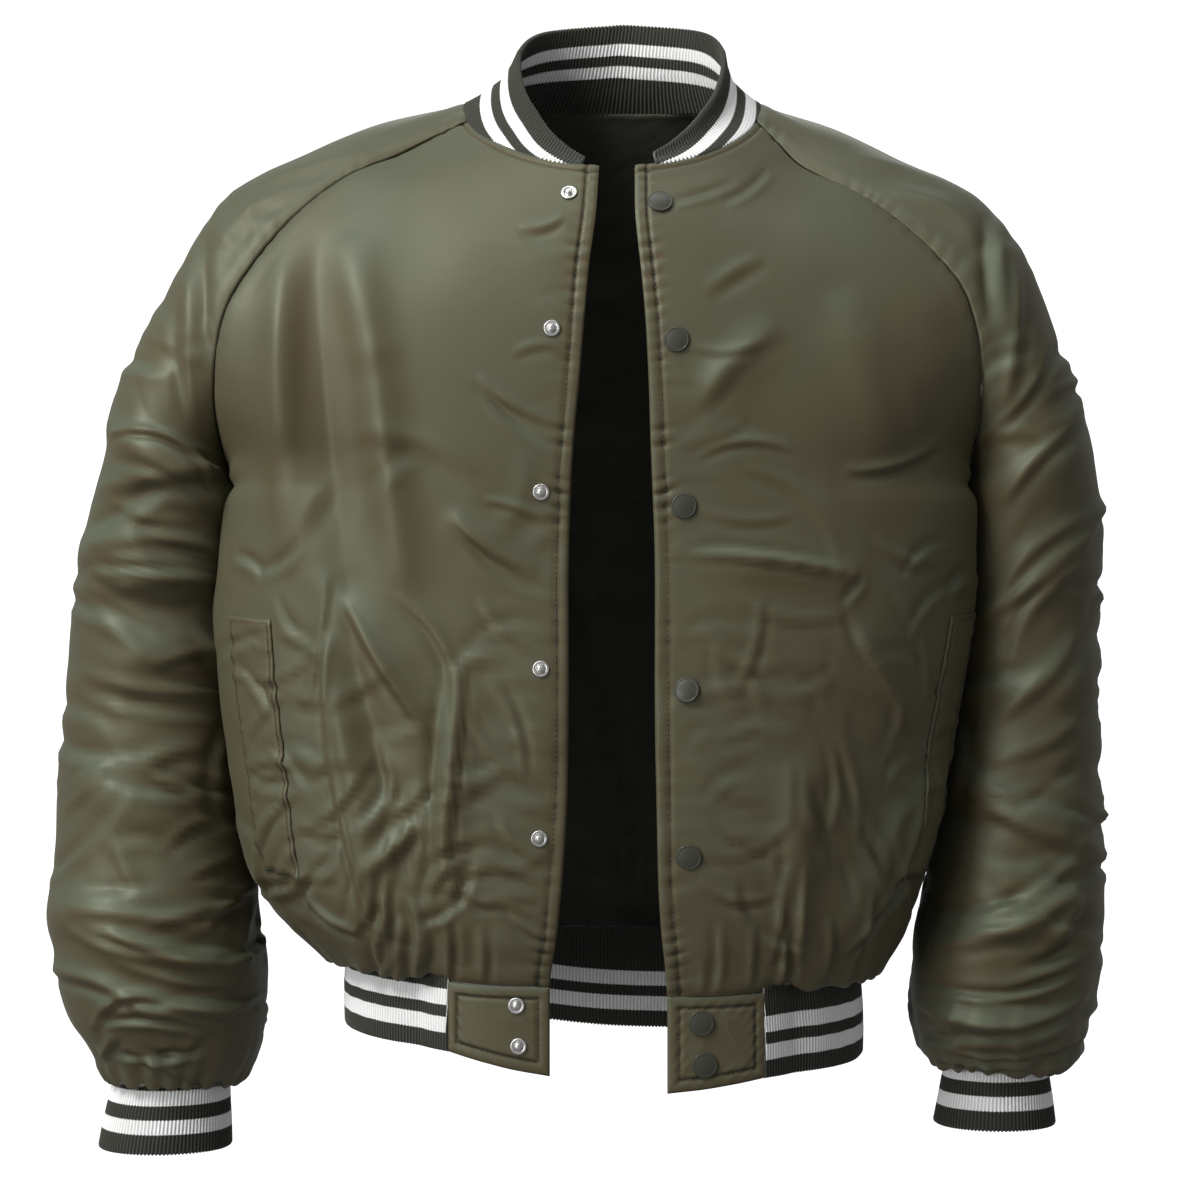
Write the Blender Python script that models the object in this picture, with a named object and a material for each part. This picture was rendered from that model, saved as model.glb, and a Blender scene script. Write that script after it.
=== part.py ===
"""A varsity jacket, worn open: satin shell, raglan sleeves, striped rib collar, cuffs and hem, snap front.

Metres, +Z up. The wearer faces -Y, and X < 0 is the wearer's right. The origin is the centre of the
neck opening, level with the side neck points, where the wearer's neck and shoulders hold the jacket.
The tables are in millimetres. A table's x runs outwards from the middle of the jacket, on either side.
"""

import bmesh
import bpy
import numpy as np
from mathutils import Matrix, Vector

MM = 0.001
RIGHT, LEFT = -1, 1  # the wearer's sides, as signs of X

WALL = 3.0  # padded satin, with its lining
CORNER_WALL = {"front": 2.8, "back": 2.7, "sleeve": 2.6}  # at a lining corner; elsewhere it is thicker
RIB_WALL = 3.2  # knit rib, doubled
SEAM_GAP = 0.4  # between two pieces at a seam
WAVE = 0.45  # how far a knit rib rises above, and its valley sinks below, the band
RIB_PITCH = 2.7
HEM_END_GAP = 1.6  # where the rib turns in beside a hem block
COLLAR_RIB_PITCH = 3.0

NECK_MIDDLE = 3.0  # the neck sits a little to the wearer's left of the fronts
NECK_HALF_WIDTH, NECK_FRONT, NECK_BACK = 99.0, 100.0, 75.0
NECK_DROP, NECK_RISE = 55.0, 5.0  # front neck point below, back neck point above, the side neck points
RAGLAN_FRONT_ANGLE, RAGLAN_BACK_ANGLE = 75.0, 145.0  # round the neckline from the middle of the front

FRONT_COLUMNS, BLOCK_COLUMNS, BLOCK_SHARE = 18, 4, 0.26  # columns of a front, and those over a hem block
BACK_COLUMNS, SLEEVE_COLUMNS = 32, 22
UPPER_ROWS, BODY_ROWS, SLEEVE_ROWS = 14, 14, 18  # neck to underarm, underarm to hem, underarm to cuff

BLOCK_ROWS = 4
BLOCK_BOTTOM = {RIGHT: (-634.0, -619.0), LEFT: (-645.0, -636.0)}  # at the front edge, at the rib
HEM_BOTTOM = (-619.0, -614.0, -616.0, -632.0, -633.0, -634.0, -636.0)  # round the rib from right to left
HEM_GATHER, CUFF_GATHER = 3.5, 3.0  # height of the gathers over the rib
GATHER_ROWS = (0, 1, 0.8, 0.5, 0.2)  # how much of it each row keeps, up from the seam

WELT_ROWS = (17, 22)  # the rows and columns of a front that a pocket's welt covers
WELT_COLUMNS = {RIGHT: (9, 12), LEFT: (11, 14)}
WELT_LIFT, WELT_WALL = 0.35, 1.2

SNAP_LIFT = 0.3
# radius and height round each fitting's axis, up from the cloth
CAP = ((0, 0), (7.3, 0), (8.0, 0.9), (6.5, 1.9), (0, 2.5))
STUD = ((0, 0), (5.3, 0), (5.0, 1.1), (2.7, 0.9), (2.3, 3.1), (0, 3.4))
SOCKET = ((0, 0), (6.0, 0), (5.5, 2.2), (0, 2.2))
SNAP_STEPS = 10
SNAPS_ON_FRONT = 5
# x and z of each snap, from the neck down; the last two are on the hem blocks
STUDS = (
    (25.4, -75),
    (35.3, -162.7),
    (42.6, -266.3),
    (42, -376.7),
    (44.5, -483.3),
    (57.8, -589),
    (57.2, -615),
)
CAPS = (
    (33, -80.4),
    (42.8, -170),
    (48.3, -275.7),
    (48.9, -388.6),
    (50.8, -493.4),
    (57.8, -600),
    (60.9, -627),
)
SNAPS = {RIGHT: (STUDS, "stud", STUD, "steel"), LEFT: (CAPS, "cap", CAP, "enamel")}

OLIVE, OLIVE_RIB = (0.07, 0.07, 0.042), (0.04, 0.042, 0.026)
STEEL, ENAMEL = (0.75, 0.75, 0.73), (0.05, 0.055, 0.035)


def smooth(values, at):
    """A smooth curve through rows of values, read at row numbers."""
    values = np.asarray(values, float)
    at = np.clip(np.atleast_1d(np.asarray(at, float)), 0, len(values) - 1)
    row = np.minimum(at.astype(int), len(values) - 2)
    part = at - row
    ends = [2 * values[0] - values[1]], [2 * values[-1] - values[-2]]
    values = np.concatenate([ends[0], values, ends[1]])
    if values.ndim > 1:
        part = part[:, None]
    a, b, c, d = (values[row + step] for step in range(4))
    curve = 2 * b + (c - a) * part + (2 * a - 5 * b + 4 * c - d) * part**2 + (3 * b - a - 3 * c + d) * part**3
    return curve / 2


def table(columns, *rows):
    """Rows under named columns, read by name at row numbers; a vector's name reads its x, y and z."""
    names, rows = columns.split(), np.array(rows, float)

    def read(name, at):
        wanted = [name] if name in names else [f"{name}_{axis}" for axis in "xyz"]
        found = [names.index(word) for word in wanted]
        values = smooth(rows[:, found], at)
        return values[:, 0] if len(found) == 1 else values

    return read


# From the neck (row 0) to the underarm (row 7): the raglan seams, the line along the top of the sleeve,
# and the angle at which the sleeve's section meets its seams, 90 for half round and -90 for a closed loop.
ARMHOLE_COLUMNS = "front_x front_y front_z top_x top_y top_z back_x back_y back_z wrap"
ARMHOLE = {
    RIGHT: table(
        ARMHOLE_COLUMNS,
        (93, -26, -13, 97, 12, 1, 54, 61, 4, 40),
        (139, -50, -41, 150, 8, -12, 100, 84, -16, 38),
        (171, -66, -57, 203, 5, -36, 150, 98, -48, 36),
        (210, -84, -92, 253, 2, -64, 195, 106, -92, 34),
        (244, -96, -141, 283, 0, -112, 232, 106, -145, 24),
        (254, -92, -187, 312, 0, -162, 250, 92, -195, 0),
        (252, -60, -234, 328, 0, -200, 251, 62, -238, -48),
        (238, 0, -266, 334, 0, -230, 238, 0, -266, -90),
    ),
    LEFT: table(
        ARMHOLE_COLUMNS,
        (99, -26, -13, 101, 12, 1, 60, 61, 4, 40),
        (125, -46, -46, 150, 8, -15, 104, 84, -16, 38),
        (159, -62, -66, 203, 5, -42, 150, 98, -50, 36),
        (190, -76, -89, 247, 2, -65, 192, 106, -94, 34),
        (227, -92, -130, 276, 0, -105, 224, 106, -142, 24),
        (240, -92, -178, 300, 0, -162, 240, 92, -192, 0),
        (240, -60, -232, 315, 0, -204, 241, 62, -238, -48),
        (230, 0, -266, 322, 0, -236, 230, 0, -266, -90),
    ),
}
UNDERARM_ROW, UNDERARM_DEPTH = 7, 92.0

# The fronts and back beside those rows: the front edge, the middle of the back, and how round the row is.
CHEST = table(
    "right_edge left_edge edge_y edge_z back_y back_z round side_lift",
    (6, 17, -100, -55, 75, 5, 2.0, 0),
    (8, 17, -119, -88, 92, -34, 2.0, 0),
    (12, 20, -130, -120, 104, -72, 2.1, 0),
    (15, 23, -137, -154, 113, -116, 2.3, 0),
    (18, 25, -141, -192, 119, -160, 2.45, 0),
    (21, 26, -143, -224, 123, -202, 2.5, 0),
    (23, 27, -144, -252, 125, -240, 2.5, 2),
    (24, 28, -144, -275, 126, -268, 2.5, 30),
)

# From the underarm (row 0) to the hem seam (row 9), where the cloth hangs over the rib: the sides before
# the sleeves press them in, the depths, the front edge and the heights. flat_ is beside a hem block.
BODY = table(
    "right_side left_side right_edge left_edge front_y flat_y back_y flat_z front_z right_z left_z back_z",
    (268, 260, 24, 28, -144, -144, 126, -275, -275, -266, -266, -268),
    (270, 256, 25, 29, -145, -145, 127, -310, -310, -300, -300, -302),
    (268, 250, 25, 29, -147, -147, 126, -355, -355, -345, -345, -347),
    (262, 238, 25, 29, -148, -148, 125, -410, -410, -400, -402, -405),
    (254, 226, 26, 30, -148, -148, 124, -462, -462, -455, -460, -460),
    (245, 214, 29, 31, -147, -147, 122, -510, -510, -502, -508, -508),
    (224, 204, 32, 33, -145, -144, 119, -541, -545, -536, -544, -543),
    (201, 191, 34, 35, -140, -141, 114, -556, -567, -559, -568, -566),
    (185, 179, 36, 36, -133, -138, 107, -567, -579, -572, -582, -578),
    (175, 169, 37, 37, -124, -136, 97, -578, -569, -561, -571, -567),
)
SEAM_DROP = {RIGHT: 0.0, LEFT: -6.0}  # the left front hangs a little lower at the hem

# From the underarm (row 0) to the cuff seam (row 12), tucked up inside the bloused end.
SLEEVE_LINE = "inner_x inner_z outer_x outer_z depth middle_y"
SLEEVE = {
    RIGHT: table(
        SLEEVE_LINE,
        (238, -266, 334, -230, 92, 0),
        (237, -300, 346, -272, 88, 8),
        (238, -338, 356, -320, 84, 14),
        (239, -385, 363, -375, 81, 16),
        (240, -440, 368, -436, 80, 14),
        (239, -495, 371, -494, 80, 9),
        (235, -545, 374, -546, 82, 2),
        (230, -585, 368, -584, 78, -3),
        (230, -612, 359, -612, 72, -5),
        (233, -634, 345, -633, 62, -6),
        (241, -649, 341, -645, 54, -6),
        (249, -656, 333, -655, 48, -6),
        (252, -642, 330, -642, 43, -6),
    ),
    LEFT: table(
        SLEEVE_LINE,
        (230, -266, 322, -236, 92, 0),
        (229, -300, 329, -285, 88, 8),
        (231, -338, 331, -330, 85, 14),
        (230, -385, 330, -382, 82, 16),
        (225, -440, 330, -440, 80, 14),
        (218, -495, 332, -495, 79, 9),
        (210, -545, 330, -548, 80, 2),
        (203, -585, 327, -588, 76, -3),
        (203, -610, 323, -612, 70, -5),
        (206, -627, 317, -630, 60, -6),
        (214, -638, 311, -642, 51, -6),
        (221, -645, 299, -647, 44, -6),
        (227, -633, 294, -633, 39, -6),
    ),
}
LAST_SLEEVE_ROW, LAST_BODY_ROW = 12, 9
SLEEVE_ROUND, BODY_ROUND = 2.2, 2.5
PRESS_GAP, PRESS_SOFT = 3.5, 5.0  # how far the side stays off the sleeve, and how softly it is pressed in

# Cuffs: middle, half width, half depth and height, at the seam and at the open end.
CUFFS = {
    RIGHT: ((291, -6, 37.2, 41.2, -642.5), (296.5, -7, 44.5, 46, -698)),
    LEFT: ((260.5, -6, 32.4, 37.8, -633.5), (258.7, -7, 40.5, 43, -683)),
}

# The collar's rise and its lean towards the neck, round from its front ends to the back.
COLLAR = table(
    "angle rise lean",
    (12, 7, 40),
    (25, 18, 38),
    (45, 33, 36),
    (70, 43, 38),
    (100, 48, 38),
    (140, 56, 24),
    (180, 60, 14),
)
LAST_COLLAR_ROW = 6
COLLAR_ENDS = {RIGHT: 12.5, LEFT: 16.5}
COLLAR_SHIFT = 8.0  # its top stands a little to the wearer's left
COLLAR_PROFILE = ((1, 1), (0.42, 0.7), (0, 0))  # top to seam: shares of the rise, and of the lean inwards

# The largest folds, as soft ridges along a line in the front view: x0 z0 x1 z1 half-width height.
FRONT_FOLDS = {
    RIGHT: (
        (168, -108, 150, -180, 14, 5),
        (150, -180, 131, -315, 14, 5),
        (212, -133, 202, -296, 15, 4),
        (96, -284, 49, -315, 9, 4),
        (165, -340, 118, -409, 11, 6),
        (178, -370, 146, -540, 11, 6),
        (92, -377, 103, -502, 10, 5),
        (111, -469, 150, -504, 10, 4),
    ),
    LEFT: (
        (58, -208, 102, -164, 14, 4),
        (43, -306, 154, -318, 10, 4),
        (158, -359, 187, -413, 12, 5),
        (118, -447, 121, -548, 12, 5),
        (206, -453, 155, -548, 14, 7),
        (150, -150, 178, -235, 16, 4),
    ),
}
SLEEVE_FOLDS = {
    RIGHT: (
        (327, -221, 263, -254, 12, 5),
        (345, -300, 262, -321, 14, 6),
        (320, -374, 250, -362, 12, 5),
        (354, -538, 247, -578, 14, 8),
        (325, -594, 252, -606, 10, 6),
        (350, -450, 280, -480, 14, 4),
    ),
    LEFT: (
        (268, -101, 261, -201, 16, 4),
        (331, -274, 255, -347, 13, 5),
        (235, -454, 325, -501, 13, 6),
        (221, -564, 311, -526, 14, 7),
        (215, -607, 308, -620, 10, 6),
        (318, -380, 262, -400, 14, 4),
    ),
}
BACK_FOLDS = (
    (-150, -120, -112, -420, 16, 5),
    (152, -112, 120, -430, 16, 5),
    (-58, -300, -76, -520, 13, 5),
    (68, -320, 60, -530, 13, 5),
    (-192, -330, -150, -530, 15, 6),
    (186, -350, 148, -540, 15, 6),
    (-90, -95, 84, -99, 16, 3),
    (-20, -380, 8, -520, 12, 4),
)


def name_of(side):
    return "right" if side == RIGHT else "left"


def neckline(angle):
    """The seam of the collar, at angles round from the middle of the front, positive to the left."""
    turn = np.radians(angle)
    front = np.cos(turn)
    y = np.where(front > 0, -NECK_FRONT, -NECK_BACK) * front
    z = np.where(front > 0, -NECK_DROP, -NECK_RISE) * front
    return np.stack([NECK_MIDDLE + NECK_HALF_WIDTH * np.sin(turn), y, z], -1)


def armhole(side, at):
    """Raglan seams, middle, way across, half depth, wrap and top line at rows of the armhole table."""
    read = ARMHOLE[side]
    rows = np.arange(UNDERARM_ROW + 1)
    front, back, wrap = read("front", rows), read("back", rows), np.radians(read("wrap", rows))
    across = (front - back)[:-1] / 2
    half = np.linalg.norm(across, axis=1)
    depth = np.append(half / round_cos(wrap[:-1]), UNDERARM_DEPTH)
    way = np.vstack([across / half[:, None], (0.0, -1.0, 0.0)])
    middle, way, depth, wrap = (smooth(values, at) for values in ((front + back) / 2, way, depth, wrap))
    way /= np.linalg.norm(way, axis=1)[:, None]
    wrap = np.clip(wrap, -np.pi / 2, None)
    reach = way * (depth * round_cos(wrap))[:, None]
    return middle + reach, middle - reach, middle, way, depth, wrap, read("top", at)


def round_cos(angle):
    cosine = np.cos(angle)
    return np.sign(cosine) * np.abs(cosine) ** (2 / SLEEVE_ROUND)


def round_sin(angle):
    sine = np.sin(angle)
    return np.sign(sine) * np.abs(sine) ** (2 / SLEEVE_ROUND)


def section(middle, outer, way, depth, wrap, columns):
    """A row round the sleeve, from its front seam over the outside to its back seam."""
    outward = (outer - middle) / (1 - round_sin(wrap))
    centre = outer - outward
    angle = np.linspace(wrap, np.pi - wrap, columns + 1)[:, None]
    return centre + way * depth * round_cos(angle) + outward * round_sin(angle)


def sleeve_grid(side):
    """The sleeve's surface as rows from the neck to the cuff, closed from the underarm down."""
    at = np.linspace(0, UNDERARM_ROW, UPPER_ROWS + 1)
    _, _, middle, way, depth, wrap, top = armhole(side, at)
    rows = [section(*row, SLEEVE_COLUMNS) for row in zip(middle, top, way, depth, wrap)]
    angles = np.linspace(RAGLAN_FRONT_ANGLE, RAGLAN_BACK_ANGLE, SLEEVE_COLUMNS + 1) * side
    edge = neckline(angles) * (side, 1, 1) - rows[0]
    for row, step in zip(rows, at):
        row += edge * max(0.0, 1 - step / 1.5) ** 2
    read = SLEEVE[side]
    lower = np.linspace(0, LAST_SLEEVE_ROW, SLEEVE_ROWS + 1)[1:]
    y, depth = read("middle_y", lower), read("depth", lower)
    inner = np.stack([read("inner_x", lower), y, read("inner_z", lower)], -1)
    outer = np.stack([read("outer_x", lower), y, read("outer_z", lower)], -1)
    for inside, outside, deep in zip(inner, outer, depth):
        rows.append(section(inside, outside, np.array((0.0, -1.0, 0.0)), deep, -np.pi / 2, SLEEVE_COLUMNS))
    return np.array(rows) * (side, 1, 1)


def press(points, side, rows_below):
    """Presses the side of the body in, clear of the sleeve that hangs beside it."""
    read = SLEEVE[side]
    rows = np.linspace(0, LAST_SLEEVE_ROW - 2, 60)
    heights = -read("inner_z", rows)
    deep = np.interp(-points[..., 2], heights, read("depth", rows))
    inner, outer = (np.interp(-points[..., 2], heights, read(n, rows)) for n in ("inner_x", "outer_x"))
    across = np.abs(points[..., 1] - np.interp(-points[..., 2], heights, read("middle_y", rows))) / deep
    width = (outer - inner) / 2
    swell = (1 - np.clip(across, 0, 1) ** SLEEVE_ROUND) ** (1 / SLEEVE_ROUND)
    below = np.clip(-points[..., 2] - heights[0], 0, None)
    gap = PRESS_GAP * (1 - np.exp(-(below + np.abs(points[..., 1]) / 3) / 8))
    limit = inner + width * (1 - swell) - gap
    room = limit - points[..., 0]
    pressed = limit - (room + np.sqrt(room**2 + PRESS_SOFT**2)) / 2
    share = np.clip(rows_below, 0, 1)
    pressed = np.where(across < 1.3, pressed, points[..., 0])
    points[..., 0] += (pressed - points[..., 0]) * share
    return points


def column_angles(columns, full):
    """Shares of a front's row: the first columns lie over the hem block."""
    if not full:
        return np.linspace(0, 1, columns + 1)
    block = np.linspace(0, BLOCK_SHARE, BLOCK_COLUMNS + 1)
    return np.append(block[:-1], np.linspace(BLOCK_SHARE, 1, columns - BLOCK_COLUMNS + 1))


def arc(edge, border, roundness, shares):
    """A row from the middle of the body, square to X, round to its border at a side."""
    part = border[1] / edge[1] if border[1] * edge[1] > 0 else 0.0
    end = np.arccos(part ** (roundness / 2))
    wide = (border[0] - edge[0]) / np.sin(end) ** (2 / roundness)
    angle = end * shares
    x = edge[0] + wide * np.sin(angle) ** (2 / roundness)
    y = edge[1] * np.cos(angle) ** (2 / roundness)
    rise = (np.sin(angle) / np.sin(end)) ** 2
    return np.stack([x, y, edge[2] + (border[2] - edge[2]) * rise], -1)


def side_seam(side, at):
    """The side seam below the underarm, pressed in by the sleeve."""
    word = name_of(side)
    seam = np.stack([BODY(word + "_side", at), np.zeros(len(at)), BODY(word + "_z", at)], -1)
    return press(seam, side, np.minimum(at * 4 + 1, 1))


def half_rows(side, front):
    """The rows of a front, or of half of the back, from the neck to the hem, with x outwards."""
    word = name_of(side)
    upper = np.linspace(0, UNDERARM_ROW, UPPER_ROWS + 1)
    lower = np.linspace(0, LAST_BODY_ROW, BODY_ROWS + 1)[1:]
    shares = column_angles(FRONT_COLUMNS, True) if front else column_angles(BACK_COLUMNS // 2, False)
    front_seam, back_seam, *_ = armhole(side, upper)
    seam = front_seam if front else back_seam
    rows = []
    if front:
        edges = np.stack([CHEST(word + "_edge", upper), CHEST("edge_y", upper), CHEST("edge_z", upper)], -1)
    else:
        edges = np.stack([np.zeros(len(upper)), CHEST("back_y", upper), CHEST("back_z", upper)], -1)
    for at, edge, border, lift, roundness in zip(
        upper, edges, seam, CHEST("side_lift", upper), CHEST("round", upper)
    ):
        row = arc(edge, border + (lift, 0, 0), roundness, shares)
        row = press(row, side, np.clip((at - 5.5) / 1.5, 0, 1) * np.ones(len(row)))
        rows.append(row + (border - row[-1]) * shares[:, None] ** 6)
    start = np.degrees(np.arcsin((rows[0][0][0] - NECK_MIDDLE * side) / NECK_HALF_WIDTH)) if front else 180.0
    end = RAGLAN_FRONT_ANGLE if front else RAGLAN_BACK_ANGLE
    edge = neckline(side * (start + (end - start) * shares)) * (side, 1, 1)
    if not front:
        edge[:, 0] -= NECK_MIDDLE * side * (1 - shares) ** 2
    change = edge - rows[0]
    for row, at in zip(rows, upper):
        row += change * max(0.0, 1 - at / 1.5) ** 2
    borders = side_seam(side, lower)
    for at, border in zip(lower, borders):
        virtual = np.array((BODY(word + "_side", at)[0], 0.0, border[2]))
        hang = np.clip((at - 5) / 3, 0, 1)
        if front:
            drop = SEAM_DROP[side] * hang
            edge = np.array([BODY(name, at)[0] for name in (word + "_edge", "front_y", "front_z")])
            edge[2] += drop
            flat = np.array((edge[0], BODY("flat_y", at)[0], BODY("flat_z", at)[0] + drop))
            row = arc(edge, virtual, BODY_ROUND, shares)
            block = arc(flat, virtual, BODY_ROUND, shares)
            away = np.clip((shares - BLOCK_SHARE) / 0.12, 0, 1)
            away = (away**2 * (3 - 2 * away))[:, None]
            row = block * (1 - away) + row * away
        else:
            middle = np.array((0.0, BODY("back_y", at)[0], BODY("back_z", at)[0]))
            row = arc(middle, virtual, BODY_ROUND, shares)
        row = press(row, side, np.ones(len(row)))
        rows.append(row + (border - row[-1]) * shares[:, None] ** 6)
    return np.array(rows) * (side, 1, 1)


def front_grid(side):
    return half_rows(side, True)


def back_grid():
    right, left = half_rows(RIGHT, False), half_rows(LEFT, False)
    return np.concatenate([right[:, ::-1], left[:, 1:]], axis=1)


def face_normals(grid, outward):
    """A grid's normals at its points, from the faces round each, turned to the outside."""
    across = np.diff(grid, axis=1)
    along = np.diff(grid, axis=0)
    total = np.zeros_like(grid)
    for r, c in ((0, 0), (0, 1), (1, 0), (1, 1)):
        rows, columns = grid.shape[0] - 1, grid.shape[1] - 1
        normal = np.cross(across[r : r + rows, :], along[:, c : c + columns])
        total[r : r + rows, c : c + columns] += normal
    return total * outward


def shared_normals(grids, outward):
    """Unit normals for each grid, the same where the edges of two grids meet."""
    raw = {name: face_normals(grid, outward[name]) for name, grid in grids.items()}
    sums = {}
    for name, grid in grids.items():
        for point, normal in zip(grid.reshape(-1, 3), raw[name].reshape(-1, 3)):
            key = tuple(np.round(point, 2))
            sums[key] = sums.get(key, 0) + normal / max(np.linalg.norm(normal), 1e-9)
    found = {}
    for name, grid in grids.items():
        normals = np.array([sums[tuple(np.round(point, 2))] for point in grid.reshape(-1, 3)])
        normals /= np.maximum(np.linalg.norm(normals, axis=1), 1e-9)[:, None]
        found[name] = normals.reshape(grid.shape)
    return found


def ridge(x, z, fold):
    """How high one soft fold stands at each x and z of the front view."""
    x0, z0, x1, z1, width, height = fold
    way = np.array((x1 - x0, z1 - z0), float)
    share = ((x - x0) * way[0] + (z - z0) * way[1]) / (way @ way)
    near = np.clip(share, 0, 1)
    away = np.hypot(x - x0 - near * way[0], z - z0 - near * way[1])
    return height * np.exp(-((away / width) ** 2)) * np.sin(np.pi * np.clip(0.15 + 0.7 * share, 0, 1))


def border_fade(shape, closed_rows=None):
    """1 inside a grid and 0 on its edges, so that seams stay where they are."""
    rows, columns = shape[:2]
    down = np.minimum(np.arange(rows), np.arange(rows)[::-1])
    round_ = np.minimum(np.arange(columns), np.arange(columns)[::-1])
    fade = np.minimum(down[:, None] / 2, round_[None, :] / 2)
    if closed_rows is not None:
        fade[closed_rows:] = np.minimum(down[closed_rows:, None] / 2, 1)
    return np.clip(fade, 0, 1)


def folds_on(grid, folds, fade):
    """The height of the folds over a grid."""
    return fade * sum(ridge(grid[..., 0], grid[..., 2], fold) for fold in folds)


def gathers_on(shape, last_rows, height, first_column=0):
    """The height of the gathers: alternate columns stand up near the seam with a rib."""
    rows, columns = shape[:2]
    up = np.zeros((rows, columns))
    for step, share in enumerate(last_rows):
        up[rows - 2 - step, first_column + 1 : columns - 1 : 2] = share * height
    return up


def seam_shift(grid, closed_from=None, sides=True, ends=(True, True)):
    """How far each edge point is drawn back, so that a seam keeps its gap."""
    shift = np.zeros_like(grid)

    def inward(here, there):
        way = grid[there] - grid[here]
        length = np.linalg.norm(way, axis=-1, keepdims=True)
        return way / np.maximum(length, 1e-9) * SEAM_GAP / 2

    if ends[0]:
        shift[0] += inward(0, 1)
    if ends[1]:
        shift[-1] += inward(-1, -2)
    if sides:
        stop = len(grid) if closed_from is None else closed_from
        shift[:stop, 0] += inward(np.s_[:stop, 0], np.s_[:stop, 1])
        shift[:stop, -1] += inward(np.s_[:stop, -1], np.s_[:stop, -2])
    if closed_from is not None:
        pull = inward(closed_from, closed_from + 1)
        shift[closed_from, 0] = shift[closed_from, -1] = pull[0] * 2
    return shift


def zipper(mesh, fine, coarse):
    """Faces between two edges that run side by side with different numbers of points."""
    i = j = 0
    steps, coarse_steps = len(fine) - 1, len(coarse) - 1
    while i < steps or j < coarse_steps:
        fine_next = (i + 0.5) * coarse_steps <= (j + 0.5) * steps
        if j == coarse_steps or (i < steps and fine_next):
            corners = fine[i], fine[i + 1], coarse[j]
            i += 1
        else:
            corners = fine[i], coarse[j + 1], coarse[j]
            j += 1
        if len(set(corners)) == 3:
            mesh.faces.new(corners)


def wall(name, outer, inner, material, closed_from=None):
    """One closed wall between an outer and a coarser inner grid, its sides welded from closed_from down."""
    mesh = bmesh.new()
    edges = []
    for grid in (outer, inner):
        rows, columns = grid.shape[:2]
        weld = None if closed_from is None else closed_from * (rows - 1) // (len(outer) - 1)
        points = [[None] * columns for _ in range(rows)]
        for r in range(rows):
            for c in range(columns):
                if c == columns - 1 and weld is not None and r >= weld:
                    points[r][c] = points[r][0]
                else:
                    points[r][c] = mesh.verts.new(grid[r, c] * MM)
        for r in range(rows - 1):
            for c in range(columns - 1):
                a, b, d, e = points[r][c], points[r][c + 1], points[r + 1][c + 1], points[r + 1][c]
                for corners in ((a, b, d), (a, d, e)):
                    mesh.faces.new(corners)
        side_rows = rows if weld is None else weld + 1
        edges.append(
            (
                points[0],
                points[-1],
                [points[r][0] for r in range(side_rows)],
                [points[r][-1] for r in range(side_rows)],
            )
        )
    for number, (fine, coarse) in enumerate(zip(*edges)):
        if number < 2 or closed_from is None or closed_from > 0:
            zipper(mesh, fine, coarse)
    return finish(name, mesh, material)


def finish(name, mesh, material):
    """Turns a bmesh into a named object, its faces pointing out."""
    bmesh.ops.recalc_face_normals(mesh, faces=mesh.faces)
    if mesh.calc_volume(signed=True) < 0:
        bmesh.ops.reverse_faces(mesh, faces=mesh.faces)
    data = bpy.data.meshes.new(name)
    mesh.to_mesh(data)
    mesh.free()
    data.materials.append(material)
    made = bpy.data.objects.new(name, data)
    bpy.context.scene.collection.objects.link(made)
    return made


def finish_material(name, colour, roughness, metallic=0.0):
    material = bpy.data.materials.new(name)
    material.use_nodes = True
    shader = material.node_tree.nodes["Principled BSDF"]
    shader.inputs["Base Color"].default_value = (*colour, 1)
    shader.inputs["Roughness"].default_value = roughness
    shader.inputs["Metallic"].default_value = metallic
    return material


def resample(path, count):
    """Points evenly spaced along a smooth curve through a path."""
    dense = smooth(path, np.linspace(0, len(path) - 1, 24 * len(path)))
    length = np.append(0, np.cumsum(np.linalg.norm(np.diff(dense, axis=0), axis=1)))
    at = np.linspace(0, length[-1], count)
    return np.stack([np.interp(at, length, dense[:, axis]) for axis in range(3)], -1)


def outwards(path, middle=(0.0, 0.0)):
    """Level directions square to a path, away from the middle of its ring."""
    way = np.gradient(path, axis=0)
    out = np.stack([way[:, 1], -way[:, 0], np.zeros(len(path))], -1)
    out /= np.linalg.norm(out, axis=1)[:, None]
    away = (path[:, :2] - middle) * out[:, :2]
    return out * np.sign(away.sum())


def knit_band(name, rows, ribs, material, closed=False, middle=(0.0, 0.0)):
    """A rib band through smooth rows, top to bottom: ribs raised outside, plain inside."""
    fine = [resample(row, 2 * ribs + 1) for row in rows]
    coarse = [resample(row, ribs // 4 + 1) for row in rows]
    wave = np.where(np.arange(2 * ribs + 1) % 2, WAVE, -WAVE)[:, None]
    if closed:
        middle = rows[0][:, :2].mean(axis=0)
    outer = np.array([row + outwards(row, middle) * wave for row in fine])
    inner = np.array([row - outwards(row, middle) * RIB_WALL for row in coarse])
    return wall(name, outer, inner, material, closed_from=0 if closed else None)


def trim(path, start, end):
    """A path shortened by the lengths given at its two ends."""
    dense = resample(path, 400)
    length = np.append(0, np.cumsum(np.linalg.norm(np.diff(dense, axis=0), axis=1)))
    at = np.linspace(start, length[-1] - end, len(path))
    return np.stack([np.interp(at, length, dense[:, axis]) for axis in range(3)], -1)


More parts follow.
